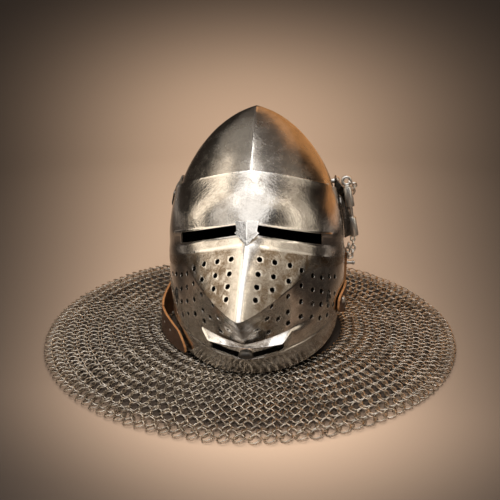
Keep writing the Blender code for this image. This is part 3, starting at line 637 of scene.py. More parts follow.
def closed_ring(major, minor, around, sides, matrix, stretch=0.0):
    """A torus in the XY plane, pulled out along X by stretch, then placed by a matrix."""
    bm = bmesh.new()
    bmesh.ops.create_circle(bm, segments=sides, radius=minor, matrix=(
        Matrix.Translation((major, 0, 0)) @ Matrix.Rotation(math.pi / 2, 4, "X")))
    spin_round(bm, around)
    for vert in bm.verts:
        vert.co.x += math.copysign(stretch / 2, vert.co.x) if abs(vert.co.x) > minor * 0.2 else 0.0
    bmesh.ops.recalc_face_normals(bm, faces=bm.faces)
    bmesh.ops.transform(bm, matrix=matrix, verts=bm.verts)
    return bm


def mark_plate(bm, marks):
    """Write each vertex's rubbed brightness with painted highlight, dirt with painted shade, and orange
    peel, in the vertices' order.
    """
    layers = [bm.verts.layers.float.new(label) for label in MARKS]
    for vert, values in zip(bm.verts, marks):
        for layer, value in zip(layers, values):
            vert[layer] = value


def darken_inside(bm, outer):
    """Give the faces that have none of the first outer vertices the second finish."""
    bm.verts.index_update()
    for face in bm.faces:
        if all(vert.index >= outer for vert in face.verts):
            face.material_index = 1


# ---------------------------------------------------------------- skull

SKULL_LEVELS = [
    # height, front, back, half, middle, ridge
    (0.0, 100.0, 111.0, 92.5, -4.0, 0.02),
    (30.0, 102.0, 108.0, 96.8, -2.0, 0.03),
    (60.0, 104.0, 111.0, 101.0, 0.0, 0.04),
    (95.0, 105.5, 117.0, 103.5, 2.0, 0.05),
    (128.0, 106.5, 118.5, 102.5, 2.0, 0.06),
    (150.0, 107.0, 115.0, 100.0, 1.0, 0.07),
    (168.0, 103.0, 110.0, 96.5, 0.0, 0.09),
    (184.0, 92.0, 103.5, 91.5, -2.0, 0.11),
    (200.0, 78.5, 95.5, 85.0, -5.0, 0.14),
    (216.0, 62.0, 86.0, 76.0, -8.0, 0.17),
    (232.0, 44.5, 76.0, 64.5, -11.0, 0.20),
    (248.0, 24.5, 63.5, 49.5, -14.0, 0.23),
    (260.0, 7.0, 50.5, 34.0, -17.0, 0.26),
    (268.0, -6.5, 37.5, 20.0, -19.0, 0.30),
    (273.5, -18.0, 25.0, 6.0, -21.0, 0.34),
]
OPENING_TOP = 172.0
OPENING_ANGLE = 60.0
APEX = Vector((0.0, 21.5, 275.0))
CREST = 0.012             # how far from the middle the skull's ridge is rounded, in radians


def skull_level(z):
    """Front, back, half width, middle and ridge of the skull at a height, by smooth curves."""
    rows = SKULL_LEVELS
    z = min(max(z, rows[0][0]), rows[-1][0])
    i = max(k for k in range(len(rows) - 1) if rows[k][0] <= z)
    before, after = rows[max(i - 1, 0)], rows[min(i + 2, len(rows) - 1)]
    low, high = rows[i], rows[i + 1]
    span = high[0] - low[0]
    f = (z - low[0]) / span
    values = []
    for a, b, c, d in zip(before[1:], low[1:], high[1:], after[1:]):
        slope_low = (c - a) / (high[0] - before[0]) * span
        slope_high = (d - b) / (after[0] - low[0]) * span
        values.append(curve_through(b, slope_low, c, slope_high, f))
    return values


def section(angle, reach, half, ridge, middle, soft):
    """Half a section: x to the side and distance to the front at an angle of up to 90 degrees.
    The ridge is rounded off nearer to the middle than soft."""
    sine = math.sin(min(math.hypot(angle, soft), math.pi / 2))
    share = (1 - ridge) * math.cos(angle) + ridge * (1 - sine)
    return half * math.sin(angle), middle + (reach - middle) * share


def skull_point(angle, z, out=0.0, soft=CREST):
    """A point of the skull's outer face, or out above it; angle is 0 at the front, in radians."""
    front, back, half, middle, ridge = skull_level(z)
    side = abs(angle)
    if side <= math.pi / 2:
        x, forward = section(side, front + out, half + out, ridge, middle, soft)
    else:
        x, behind = section(math.pi - side, back + out, half + out, ridge, -middle, soft)
        forward = -behind
    return Vector((math.copysign(x, angle), -forward, z))


def skull_marks(place):
    """Bright along the ridge, rubbed there and painted as a highlight; darker near the leather."""
    return ease(3.0, 0.6, abs(place.x)) * 0.8, ease(14.0, 3.0, place.z) * 0.35, 0.25


def both_sides(half):
    """Angles from the middle out, repeated for the other side."""
    return [-a for a in reversed(half[1:])] + half


def build_skull():
    """The bowl: a grid of angles and heights with the face left open, closed at its point."""
    fine = [0.0, CREST * 0.6, CREST * 1.2]
    half = fine + [math.radians(a) for a in [*range(2, 61, 2), *range(63, 178, 3)]]
    half += [math.pi - a for a in reversed(fine)]
    angles = both_sides(half)
    levels = [OPENING_TOP * k / 42 for k in range(43)]
    levels += [OPENING_TOP + 93.0 * k / 34 for k in range(1, 35)]
    levels += [267.5, 269.5, 271.2, 272.6, 273.5, APEX.z]

    def point(angle, z):
        return APEX.copy() if z == APEX.z else skull_point(angle, z)

    def opening(angle, z):
        return z < OPENING_TOP and abs(angle) < math.radians(OPENING_ANGLE)

    bm = grid_sheet(angles, levels, opening)
    shape_sheet(bm, point)
    bmesh.ops.remove_doubles(bm, verts=bm.verts, dist=0.01)
    outer = len(bm.verts)
    bm = thicken(bm, WALL)
    marks = [skull_marks(vert.co) for vert in list(bm.verts)[:outer]]
    mark_plate(bm, marks + [(0.0, 0.3, 0.0)] * (len(bm.verts) - outer))
    darken_inside(bm, outer)
    add_piece("skull_plate", bm, [SKULL_STEEL, INSIDE], "helmet", ["skull"], bevel=0.3)


# ---------------------------------------------------------------- visor

VISOR_LINES = {
    # name: (reach, half, ridge, middle, z0, z45, z90, slope, crease, fade)
    "top": (5.0, None, None, None, 214.0, 200.5, 181.0, -8.0, 0.0, 60.0),
    "brow": (4.4, None, None, None, 182.0, 165.5, 147.0, -24.0, 0.0, 60.0),
    "sight_top": (108.0, 106.0, 0.08, 10.0, 165.5, 145.4, 128.0, -30.0, 1.0, 70.0),
    "sight_low": (106.5, 106.5, 0.08, 10.0, 154.0, 132.8, 117.0, -32.0, 1.0, 62.0),
    "shelf": (116.0, 108.0, 0.12, 10.0, 145.5, 120.5, 104.0, -32.0, 1.0, 66.0),
    "snout": (189.0, 108.5, 0.75, 10.0, 85.5, 112.0, 90.0, 8.0, 1.0, 38.0),
    "crease": (142.0, 107.0, 0.12, 10.0, 40.5, 58.0, 64.0, 29.0, 0.8, 40.0),
    "chin": (147.0, 104.5, 0.10, 10.0, 25.5, 35.4, 46.0, 8.0, 1.0, 80.0),
    "rim": (139.0, 100.5, 0.0, 10.0, 4.5, 9.5, 24.0, 2.0, 0.0, 60.0),
}
MOUTH = [
    # angle, lip, lip_out, slit_top, slit_top_out, slit_low, slit_low_out
    (0.0, 0.18, 2.4, 0.54, 1.2, 0.88, 1.2),
    (4.0, 0.19, 3.0, 0.55, 1.4, 0.89, 1.3),
    (13.0, 0.28, 5.6, 0.51, 2.0, 0.82, 1.5),
    (22.0, 0.39, 7.0, 0.57, 2.2, 0.85, 1.3),
    (29.5, 0.06, 0.4, 0.36, 0.4, 0.65, 0.2),
    (38.0, 0.25, 0.0, 0.50, 0.0, 0.75, 0.0),
    (110.0, 0.25, 0.0, 0.50, 0.0, 0.75, 0.0),
]
MOUTH_PULL = 1.1          # how much shorter the mouth is on the +X side
LINE_ORDER = ["top", "brow", "sight_top", "sight_low", "shelf", "snout", "crease",
              "lip", "slit_top", "slit_low", "chin", "rim"]
LINE_STEPS = [(14, 1), (12, -1.7), (5, 1), (7, 1.35), (34, 1), (24, 1),
              (3, 1), (3, 1), (2, 1), (8, 1), (14, 1)]
SIGHT = (7.0, 48.5)       # where each sight begins and ends, in degrees
LIP_HIGHLIGHT_ENDS = (25.0, 29.5)   # where the painted highlight on the lip ends, on the +X side and on the other
BROW_EDGE = 58.0          # where the brow's lower edge is no longer turned out
SLIT = (4.0, 22.0)        # where each mouth slit begins and ends
COLUMN_MARKS = [0.0, 4.0, 7.0, 13.0, 22.0, 29.5, 38.0, 48.5, 66.0, 99.0]
COLUMN_STEPS = [(5, 1), (4, 1), (5, 1), (8, 1), (7, 1), (7, 1), (9, 1), (14, 1), (22, 1)]
BREATH_RADIUS = 3.0
KEEL = 0.045              # how far from the middle the snout's ridge is blunted, in radians
SWAY = 2.6                # how far the hammered snout's point stands to the wearer's right
LEDGE = 0.6               # how far the lower rim's band stands out under the mouth
FLANGE = (0.7, 1.8)       # how far the sights' edges are turned out, and how wide
NOSE_PIECE = [
    # share of its height from the top, half width: the keystone between the sights
    (0.0, 13.0), (0.14, 12.2), (0.30, 11.4), (0.40, 11.0), (0.455, 12.2),
    (0.49, 13.4), (0.54, 11.8), (0.70, 7.6), (0.86, 3.5), (1.0, 0.4),
]
NOSE_TOP = (-108.4, 167.6)      # y and z of its top and of its point
NOSE_POINT = (-118.0, 142.8)
NOSE_FOLD = 2.0                 # how far its sides fall back from its middle
BREATHS = [
    # angle, heights
    (8.0, (131.0, 119.0, 109.0, 99.0, 61.0)),
    (14.0, (74.0, 54.0)),
    (16.5, (126.0, 114.0, 103.0, 88.0)),
    (20.0, (68.0,)),
    (25.5, (120.0, 106.0, 91.0, 72.0, 59.0)),
    (33.0, (112.0, 97.0, 79.0, 62.0)),
    (40.5, (102.0, 87.0, 72.0, 57.0)),
    (47.5, (96.0, 81.0, 67.0, 52.0)),
    (55.0, (93.0, 76.0, 61.0, 50.0)),
    (62.0, (89.0, 70.0, 57.0)),
]


def line_height(line, side):
    """Height of a visor line: it starts from z0 with its slope and passes z45 and z90."""
    z0, z45, z90, slope = line[4:8]
    w = min(side / (math.pi / 2), 1.1)
    half_way = z45 - z0 - slope * 0.5
    whole = z90 - z0 - slope
    cubic = (whole - 4 * half_way) * 2
    return z0 + slope * w + (whole - cubic) * w**2 + cubic * w**3


def visor_line(name, side):
    """Where a visor line is at an angle from the front: x, y and z."""
    line = VISOR_LINES[name]
    z = line_height(line, side)
    if line[1] is None:
        return skull_point(side - 0.1 * ease(1.0, 1.7, side), z, line[0], 0.12)
    if side <= math.pi / 2:
        x, forward = section(side, *line[:4], KEEL)
    else:
        x, forward = line[1], line[3] - (side - math.pi / 2) * line[1]
    return Vector((x, -forward, z))


def visor_profile(side, raised, pull):
    """The visor's lines from top to bottom at one angle; without raised the mouth has no lip."""
    points = {name: visor_line(name, side) for name in VISOR_LINES}
    cheek = points["shelf"].lerp(points["crease"], 0.22)
    points["snout"] = points["snout"].lerp(cheek, ease(0.5, 1.0, side))
    mouth = from_table(MOUTH, math.degrees(side) * pull)
    for name, share, out in zip(("lip", "slit_top", "slit_low"), mouth[::2], mouth[1::2]):
        points[name] = points["crease"].lerp(points["chin"], share) + facing(side) * out * raised
    return [points[name] for name in LINE_ORDER]


def crease_at(name, side):
    """1 where a line is a sharp crease, 0 where the plate runs smoothly over it."""
    crease, fade = VISOR_LINES[name][8:10] if name in VISOR_LINES else (1.0, 34.0)
    return crease * (1 - ease(fade * 0.6, fade, math.degrees(side)))


def relief(side, t, points):
    """How far the sights' turned edges stand out of the plate."""
    degrees = math.degrees(side)
    rise, width = FLANGE
    above = max(2 - t, 0.0) * (points[2] - points[1]).length
    below = max(t - 3, 0.0) * (points[4] - points[3]).length
    end = SIGHT[1] if t > 2.01 else BROW_EDGE
    beside = max(degrees - end, 0.0) * 1.9      # a degree here is about 1.9 mm
    distance = math.hypot(beside, above, below)
    return rise * (1 - ease(0.3, width, distance))


def visor_point(angle, t, raised=1.0):
    """A point of the visor's outer face; t counts the lines from the top."""
    side = abs(angle)
    points = visor_profile(side, raised, MOUTH_PULL if angle > 0 else 1.0)
    i = min(int(t), len(points) - 2)
    f = t - i
    start, end = points[i], points[i + 1]
    chord = end - start
    slopes = []
    for k, name in ((i, LINE_ORDER[i]), (i + 1, LINE_ORDER[i + 1])):
        if 0 < k < len(points) - 1:
            before, after = points[k] - points[k - 1], points[k + 1] - points[k]
            a, b = before.length, after.length
            smooth = (before * (b / a) + after * (a / b)) / (a + b) * chord.length
            slopes.append(smooth.lerp(chord, crease_at(name, side)))
        else:
            slopes.append(chord)
    place = curve_through(start, slopes[0], end, slopes[1], f)
    if raised and 1.0 < t < 4.0:
        place += facing(side) * relief(side, t, points)
    if raised and t > 9.5:
        place += facing(side) * LEDGE * ease(9.7, 10.0, t) * (1 - ease(10.1, 10.8, t))
    sway = SWAY * min(ease(3.9, 5.0, t), 1 - ease(5.4, 7.0, t))
    place.x = math.copysign(place.x, angle) - sway * (1 - ease(20.0, 48.0, math.degrees(side)))
    return place


def line_at(angle, z):
    """Where, counted in lines, the visor passes a height at an angle."""
    low, high = 0.0, 10.0
    for _ in range(20):
        t = (low + high) / 2
        if visor_point(angle, t, 0.0).z > z:
            low = t
        else:
            high = t
    return low


def visor_hole(angle, t):
    """Whether a place is in a sight or in a mouth slit."""
    degrees = abs(math.degrees(angle))
    in_sight = 2 < t < 3 and SIGHT[0] < degrees < SIGHT[1]
    return in_sight or (8 < t < 9 and SLIT[0] < degrees < SLIT[1])


def sight_column(angle, t):
    """Draw the columns beside the nose piece in to its filed edge."""
    degrees = abs(math.degrees(angle))
    if not 1.7 < t < 3.6 or degrees > 12.0:
        return angle
    edge = math.degrees(math.asin((from_table(NOSE_PIECE, max(t, 2.0))[0] + 0.5) / 108.0))
    edge = SIGHT[0] + (max(edge, 4.5) - SIGHT[0]) * ease(1.7, 2.0, t) * (1 - ease(3.0, 3.6, t))
    if degrees <= SIGHT[0]:
        moved = degrees * edge / SIGHT[0]
    else:
        moved = 12.0 - (12.0 - degrees) * (12.0 - edge) / (12.0 - SIGHT[0])
    return math.copysign(math.radians(moved), angle)


def punch_hole(bm, point, at, radius, columns, rows):
    """Take the cells round a place out of a grid and draw the edge that is left to a true circle.
    What comes back is that edge."""
    u0, v0 = at
    place = point(u0, v0)
    step = 0.004
    across = (point(u0 + step, v0) - place) / step
    down = (point(u0, v0 + step) - place) / step
    i = min(range(len(columns)), key=lambda k: abs(columns[k] - u0))
    j = min(range(len(rows)), key=lambda k: abs(rows[k] - v0))
    wide = max(1, int(radius / (across.length * (columns[i + 1] - columns[i])) + 0.3))
    high = max(1, int(radius / (down.length * (rows[j + 1] - rows[j])) + 0.3))
    west, east, north, south = columns[i - wide], columns[i + wide], rows[j - high], rows[j + high]
    gone = []
    for face in bm.faces:
        middle = face.calc_center_median()
        if west < middle.x < east and north < middle.y < south:
            gone.append(face)
    rim = list({v for f in gone for v in f.verts})
    bmesh.ops.delete(bm, geom=gone, context="FACES")
    rim = [v for v in rim if v.is_valid]
    edges = [e for e in {e for v in rim for e in v.link_edges} if e.is_boundary]
    rim += [bmesh.utils.edge_split(edge, edge.verts[0], 0.5)[1] for edge in edges]
    # the tangent plane's own measure: how far a step each way goes in millimetres
    aa, ad, dd = across.dot(across), across.dot(down), down.dot(down)
    for vert in rim:
        u, v = vert.co.x - u0, vert.co.y - v0
        length = math.sqrt(aa * u * u + 2 * ad * u * v + dd * v * v)
        vert.co.x = u0 + u * radius / length
        vert.co.y = v0 + v * radius / length
    return rim


def visor_marks(angle, t, filed):
    """Rubbed brightness with painted highlights, dirt and blotches with painted shade, and orange peel at
    a place of the visor.
    """
    degrees = abs(math.degrees(angle))
    # painted highlights, with some rubbed edges: along the keel, the shelf's ridge, the mouth's lip, the
    # sights' rims and the top edge
    keel = (1 - ease(1.0, 2.6, degrees)) * (1 - ease(4.85, 5.1, t)) * ease(3.9, 4.0, t)
    shelf = (1 - ease(0.0, 0.06, abs(t - 4.0))) * (1 - ease(45.0, 60.0, degrees))
    end = LIP_HIGHLIGHT_ENDS[0] if angle > 0 else LIP_HIGHLIGHT_ENDS[1]
    lip = (1 - ease(0.7, 1.05, abs(t - 7.1))) * (1 - ease(end - 3.0, end, degrees))
    sights = 1 - ease(0.05, 0.22, max(abs(t - 2.5) - 0.5, 0.0))
    sights *= (1 - ease(52.0, 56.0, degrees)) * 0.7
    top = 1 - ease(0.01, 0.07, t)
    # darker and blotched from the snout down
    below = ease(5.3, 6.2, t) * 0.31
    cheek = ease(34.0, 52.0, degrees) * ease(2.6, 4.2, t) * 0.02
    # painted shade under the snout, between its point and the mouth
    throat = ease(5.05, 5.4, t) * (1 - ease(6.2, 6.8, t)) * (1 - ease(10.0, 26.0, degrees))
    flank = ease(4.0, 4.05, t) * (1 - ease(4.95, 5.1, t)) * ease(1.6, 11.0, degrees) * 0.85
    grime_and_shade = max(below, cheek, throat, flank) * (1 - lip) * (1 - filed)
    # the breaths' rims are painted bright too, a painted highlight standing in for the light on their
    # walls
    return max(keel, shelf, lip, sights, top, filed * 0.8), grime_and_shade, 1.0 if t < 2.4 else 0.25


def build_visor():
    """The plate: a grid of angles and lines, with its sights, slits and breaths cut out."""
    columns = both_sides([math.radians(a) for a in in_between(COLUMN_MARKS, COLUMN_STEPS)])
    rows = in_between(list(range(len(LINE_ORDER))), LINE_STEPS)
    bm = grid_sheet(columns, rows, visor_hole)
    # the breaths' rims: filed edges, which are painted bright as a highlight
    filed = bm.verts.layers.float.new("filed")

    def plain(angle, t):
        return visor_point(angle, t, 0.0)

    for degrees, heights in BREATHS:
        for z in heights:
            for angle in (math.radians(degrees), -math.radians(degrees)):
                at = (angle, line_at(angle, z))
                for vert in punch_hole(bm, plain, at, BREATH_RADIUS, columns, rows):
                    vert[filed] = 1.0
    outer = len(bm.verts)
    marks = [visor_marks(vert.co.x, vert.co.y, vert[filed]) for vert in bm.verts]
    raised = [visor_point(sight_column(vert.co.x, vert.co.y), vert.co.y) for vert in bm.verts]
    shape_sheet(bm, lambda angle, t: plain(sight_column(angle, t), t))
    bm = thicken(bm, WALL)
    for vert, place in zip(bm.verts, raised):
        vert.co = place
    mark_plate(bm, marks)
    darken_inside(bm, outer)
    bm.normal_update()
    add_piece("visor_plate", bm, [VISOR_STEEL, INSIDE], "visor", ["visor"], bevel=0.25)


def build_nose_piece():
    """The two-faced keystone between the sights, down to its point on the shelf."""
    shares = sorted({k / 20 for k in range(21)} | {0.455, 0.49, 0.54})
    across = [-1.0, -0.93, -0.8, -0.6, -0.4, -0.2, -0.08, 0.0, 0.08, 0.2, 0.4, 0.6, 0.8, 0.93, 1.0]
    bm = grid_sheet(across, shares)

    # brighter along its edges and its middle fold: partly rubbed edges, partly painted highlight
    def wear_and_highlight(u, v):
        return max(ease(0.86, 0.95, u), ease(0.06, 0.0, v), 1 - ease(0.0, 0.12, u), 0.35)

    def front(u, v):
        half = from_table(NOSE_PIECE, v)[0]
        y, z = (a + (b - a) * v for a, b in zip(NOSE_TOP, NOSE_POINT))
        return Vector((u * half, y + NOSE_FOLD * abs(u) * half / 12.0, z))

    mark_plate(bm, [(wear_and_highlight(abs(vert.co.x), vert.co.y), 0.0, 0.6) for vert in bm.verts])
    shape_sheet(bm, front)
    if sum(face.normal.y for face in bm.faces) > 0:
        bmesh.ops.reverse_faces(bm, faces=bm.faces)
    walls = bmesh.ops.extrude_face_region(bm, geom=bm.faces[:], use_keep_orig=True)
    back = [item for item in walls["geom"] if isinstance(item, bmesh.types.BMVert)]
    for vert in back:
        vert.co.y = -105.0 if vert.co.z > 152.0 else -105.0 - (152.0 - vert.co.z) * 1.15
    bmesh.ops.recalc_face_normals(bm, faces=bm.faces)
    add_piece("nose_piece", bm, [VISOR_STEEL], "visor", ["visor"], smooth=30, bevel=0.35)


def build_mouth_boss():
    """The low domed tab between the two mouth slits, standing on the chin."""
    foot, half = visor_point(0.0, 8.5), 8.2
    outline = [(0.3, 1.0), (1.2, 1.0), (2.6, 0.93), (3.8, 0.76), (4.7, 0.48), (5.2, 0.0)]
    bm = turned([(out, half * share) for out, share in outline], foot, Vector((0.0, -1.0, 0.12)), 40)
    bmesh.ops.scale(bm, vec=(1.0, 1.0, 0.82), space=Matrix.Translation(-foot), verts=bm.verts)
    cut = bmesh.ops.bisect_plane(bm, geom=bm.verts[:] + bm.edges[:] + bm.faces[:], plane_no=(0, 0, 1),
                                 plane_co=foot + Vector((0.0, 0.0, -1.2)), clear_inner=True)
    rim = [item for item in cut["geom_cut"] if isinstance(item, bmesh.types.BMEdge)]
    bmesh.ops.holes_fill(bm, edges=rim)
    add_piece("chin_tab", bm, [DARK_STEEL], "visor", ["mouth_boss"], bevel=0.3)


# ---------------------------------------------------------------- hinges, pins and chains

HINGE_TOP = Vector((107.9, -1.0, 188.2))      # middle of the pin's ring, for the +X side
HINGE_FOOT = Vector((120.2, -1.0, 120.6))     # lower end of the barrel
BARREL_LEAN = 0.182                           # how far the barrel leans out on its way down
HINGE_PLATE = 2.0
KNUCKLE_RADIUS = 5.0
LOW_KNUCKLE_RADIUS = 4.4
PIN_RADIUS = 2.0
RING_RADIUS = 4.5
RING_WIRE = 2.2
UPPER_KNUCKLE = (0.11, 0.46)                  # shares of the way from the top to the foot
LOWER_KNUCKLE = (0.66, 1.0)
ARM_STATIONS = [
    # y, x, low, high
    (27.5, 94.5, 181.5, 186.5),
    (25.0, 94.5, 178.4, 189.0),
    (20.0, 94.5, 177.0, 190.6),
    (14.0, 94.5, 175.0, 189.4),
    (8.0, 99.5, 168.0, 184.0),
    (3.0, 103.6, 150.0, 179.6),
    (-1.0, 105.6, 158.0, 179.6),
]
LEAF_STATIONS = [
    # y, out from the visor's face, low, high
    (-19.0, 0.5, 130.0, 166.0),
    (-14.0, 0.5, 122.0, 172.0),
    (-9.0, 1.2, 120.5, 170.0),
    (-5.0, 4.4, 121.0, 157.0),
    (-1.0, 9.0, 121.5, 142.5),
]
PLAIN_ARM_STATIONS = [
    # y, x, share of the visor's face in x, out from that face, low, high: the arm of the other side
    (27.0, 92.9, 0.0, 0.0, 181.5, 187.0),
    (24.5, 92.9, 0.0, 0.0, 178.5, 189.6),
    (20.0, 92.9, 0.0, 0.0, 177.4, 190.6),
    (15.0, 93.1, 0.0, 0.0, 178.2, 190.6),
    (11.6, 96.0, 0.0, 0.0, 172.5, 186.0),
    (8.4, 99.0, 1.0, 1.0, 163.0, 179.6),
    (4.0, 99.0, 1.0, 0.5, 158.0, 176.6),
    (-1.0, 99.0, 1.0, 0.4, 157.0, 176.0),
    (-5.0, 99.0, 1.0, 0.4, 160.0, 173.0),
]
STUDS = {
    # where a head begins, its radius and rise
    "left": (97.4, 5.4, 3.4),
    "right": (95.7, 5.2, 2.0),
}
CHAIN_ROUTE = [
    # x, y, z: from the pin's ring, down behind the barrel and back up to its foot
    (113.4, -1.0, 186.2),
    (117.6, 2.4, 182.6),
    (116.6, 7.4, 175.0),
    (113.6, 9.6, 163.0),
    (114.0, 9.8, 148.0),
    (115.8, 9.0, 133.0),
    (117.6, 6.8, 119.0),
    (118.6, 3.2, 105.0),
    (117.2, 1.0, 95.4),
    (113.8, -1.0, 93.4),
    (111.8, -2.8, 100.0),
    (112.4, -4.0, 108.0),
    (113.2, -4.8, 115.0),
]
LINK_PITCH = 5.9
FIRST_PITCH = 6.4
FIRST_LINK = (9.4, 7.4, 0.9)                  # length, width and wire radius
LINK = (9.4, 7.0, 1.2)


def barrel_point(share):
    return HINGE_TOP.lerp(HINGE_FOOT, share)


def tube(radius, start, end):
    """A knuckle: a turned tube with rounded rims."""
    length, bore, corner = (end - start).length, PIN_RADIUS + 0.3, 0.6
    rim = [(0.0, radius - corner), (corner * 0.3, radius - corner * 0.3), (corner, radius)]
    other_rim = [(length - x, r) for x, r in reversed(rim)]
    outline = [(0.0, bore), *rim, *other_rim, (length, bore), (0.0, bore)]
    return turned(outline, start, end - start, 40)


def visor_side_x(y, z):
    """How far the visor's flank reaches out at y and a height; it is nearly round there."""
    side = math.acos(min(max((-y - 10.0) / 98.0, -0.2), 1.0))
    return visor_point(side, line_at(side, z)).x


def build_plate(stations, point, columns=7):
    """A flat fitting through its stations, with columns steps from each one to the next."""
    steps = [k / columns for k in range(columns * (len(stations) - 1) + 1)]
    bm = grid_sheet(steps, [k / 8 for k in range(9)])
    shape_sheet(bm, point)
    return thicken(bm, HINGE_PLATE, outside=True)


def build_hinge():
    """Arm with the upper knuckle, leaf with the lower one, and the pin with its ring."""
    def arm_point(t, share):
        y, x, low, high = smooth_row(ARM_STATIONS, t)
        z = low + (high - low) * share
        return Vector((x + (PIVOT_LOCAL.z - z) * BARREL_LEAN * ease(3.0, 5.0, t), y, z))

    def leaf_point(t, share):
        y, out, low, high = smooth_row(LEAF_STATIONS, t)
        z = low + (high - low) * share
        return Vector((visor_side_x(y, z) + out, y, z))

    for name, stations, point, radius, (start, end) in (
            ("pivot_arm", ARM_STATIONS, arm_point, KNUCKLE_RADIUS, UPPER_KNUCKLE),
            ("hinge_leaf", LEAF_STATIONS, leaf_point, LOW_KNUCKLE_RADIUS, LOWER_KNUCKLE)):
        plate = build_plate(stations, point)
        add_piece(f"{name}_plate", plate, [HINGE_DARK], "visor", [f"{name}_left"],
                  bevel=0.45)
        knuckle = tube(radius, barrel_point(start), barrel_point(end))
        add_piece(f"{name}_knuckle", knuckle, [HINGE_STEEL], "visor")

    way = HINGE_FOOT - HINGE_TOP
    outline = [(0.0, 0.0), (0.0, PIN_RADIUS), (0.035, PIN_RADIUS), (0.035, 3.3), (0.05, 3.6), (0.065, 3.3),
               (0.065, PIN_RADIUS), (0.955, PIN_RADIUS), (0.965, PIN_RADIUS * 0.8), (0.97, 0.0)]
    pin = turned([(share * way.length, radius) for share, radius in outline], barrel_point(0.055), way, 28)
    upright = Matrix.Translation(HINGE_TOP) @ Matrix.Rotation(math.pi / 2, 4, "X")
    add_mesh(pin, closed_ring(RING_RADIUS, RING_WIRE, 48, 14, upright))
    add_piece("ring_pin", pin, [HINGE_STEEL], "visor", ["hinge_pin_left"])


def build_plain_arm():
    """The other side's arm: a strap with two rivets from the visor's flank to its stud."""
    def point(t, share):
        y, x, hug, out, low, high = smooth_row(PLAIN_ARM_STATIONS, t)
        z = low + (high - low) * share
        return Vector((x + (visor_side_x(y, z) + out - x) * hug, y, z))

    arm = build_plate(PLAIN_ARM_STATIONS, point, 6)
    way = Vector((1.0, 0.0, 0.14)).normalized()
    for z in (161.5, 171.5):
        seat = Vector((visor_side_x(0.0, z) + 2.3, 0.0, z))
        add_mesh(arm, dome(seat, way, Vector((0.0, 0.0, 1.0)), 2.4, 2.4, 1.0))
    arm = mirrored(arm, -1)
    add_piece("plain_arm", arm, [HINGE_DARK], "visor", ["pivot_arm_right"], bevel=0.45)


def build_chain():
    """Open links along the route, each about a quarter turn from the last."""
    fine = [Vector(smooth_row(CHAIN_ROUTE, k / 400 * (len(CHAIN_ROUTE) - 1))) for k in range(401)]
    reach = [0.0]
    for a, b in zip(fine, fine[1:]):
        reach.append(reach[-1] + (b - a).length)
    count = int((reach[-1] - FIRST_PITCH) / LINK_PITCH)
    chance = random.Random(6)
    bm = bmesh.new()
    for k in range(count + 1):
        at = FIRST_PITCH + (k - 1) * LINK_PITCH if k else 0.0
        length, width, wire = LINK if k else FIRST_LINK
        i = max(n for n in range(401) if reach[n] <= at)
        way = (fine[min(i + 6, 400)] - fine[max(i - 6, 0)]).normalized()
        across = way.cross(Vector((0, 1, 0))).normalized()
        if k % 2 == 0:
            across = way.cross(across).normalized()
        turn = Matrix((way, across, way.cross(across))).transposed().to_4x4()
        turn = turn @ Matrix.Rotation(math.radians(chance.uniform(-10, 10)), 4, "X")
        place = Matrix.Translation(fine[i]) @ turn
        add_mesh(bm, closed_ring(width / 2 - wire, wire, 20, 8, place, length - width))
    add_piece("pin_chain", bm, [HINGE_STEEL], "visor", ["pin_chain_left"])


def build_stud(side, word):
    """The rivet that an arm turns on: a shaft out of the skull and a domed head."""
    seat = skull_point(math.radians(98.0), PIVOT_LOCAL.z).x + 0.2
    head, radius, rise = STUDS[word]
    outline = [(0.0, 0.0), (0.0, 3.2), (head - seat, 3.2)]
    outline += [(head + rise * math.sin(a) - seat, radius * math.cos(a))
                for a in [math.radians(15 * k) for k in range(7)]]
    stud = mirrored(turned(outline, Vector((seat, *PIVOT_LOCAL.yz)), (1, 0, 0), 36), side)
    add_piece(f"stud_{word}", stud, [HINGE_STEEL], "helmet", [f"pivot_stud_{word}"])


# ---------------------------------------------------------------- leather and its pegs

BAND_STATIONS = [
    # x, y, low, high, lean
    (112.2, 6.4, 22.0, 94.0, -2.0),
    (111.6, 12.0, 14.0, 98.0, -2.0),
    (110.2, 21.0, 8.0, 97.0, -2.0),
    (109.0, 29.0, 6.0, 88.0, -2.0),
    (107.5, 36.0, 5.6, 46.0, -2.0),
    (103.0, 58.0, 5.4, 33.0, -1.0),
    (88.0, 85.0, 5.2, 30.0, 0.0),
    (60.0, 106.0, 5.2, 29.0, 0.0),
    (25.0, 117.5, 5.2, 29.0, 0.0),
    (-15.0, 119.0, 5.2, 29.0, 0.0),
    (-55.0, 110.0, 5.2, 30.0, 0.0),
    (-86.0, 89.0, 5.4, 33.0, 0.0),
    (-105.0, 62.0, 5.6, 42.0, 1.0),
    (-114.0, 34.0, 5.6, 52.0, 1.5),
    (-119.5, 8.0, 5.6, 47.0, 2.0),
    (-122.0, -14.0, 5.6, 38.5, 2.0),
    (-118.5, -34.0, 5.6, 36.5, 2.0),
]
RIGHT_END_STATIONS = [
    (-117.6, -37.5, 5.6, 36.4, 2.0),
    (-109.5, -56.0, 5.8, 35.5, 2.0),
    (-97.5, -76.0, 6.0, 33.0, 2.0),
    (-87.0, -91.5, 6.6, 30.5, 1.0),
    (-81.5, -99.0, 7.6, 25.0, 0.5),
    (-76.0, -106.0, 9.0, 15.0, 0.0),
]
LEFT_END_STATIONS = [
    (112.4, 2.4, 19.0, 60.0, -1.0),
    (111.6, -10.0, 24.0, 63.0, -1.0),
    (110.6, -22.0, 31.0, 65.0, -1.0),
    (108.6, -36.0, 37.0, 66.0, -0.5),
    (106.2, -47.0, 39.0, 65.5, -0.5),
    (103.0, -56.0, 43.0, 62.0, -0.5),
    (101.6, -60.0, 48.5, 57.0, -0.5),
]
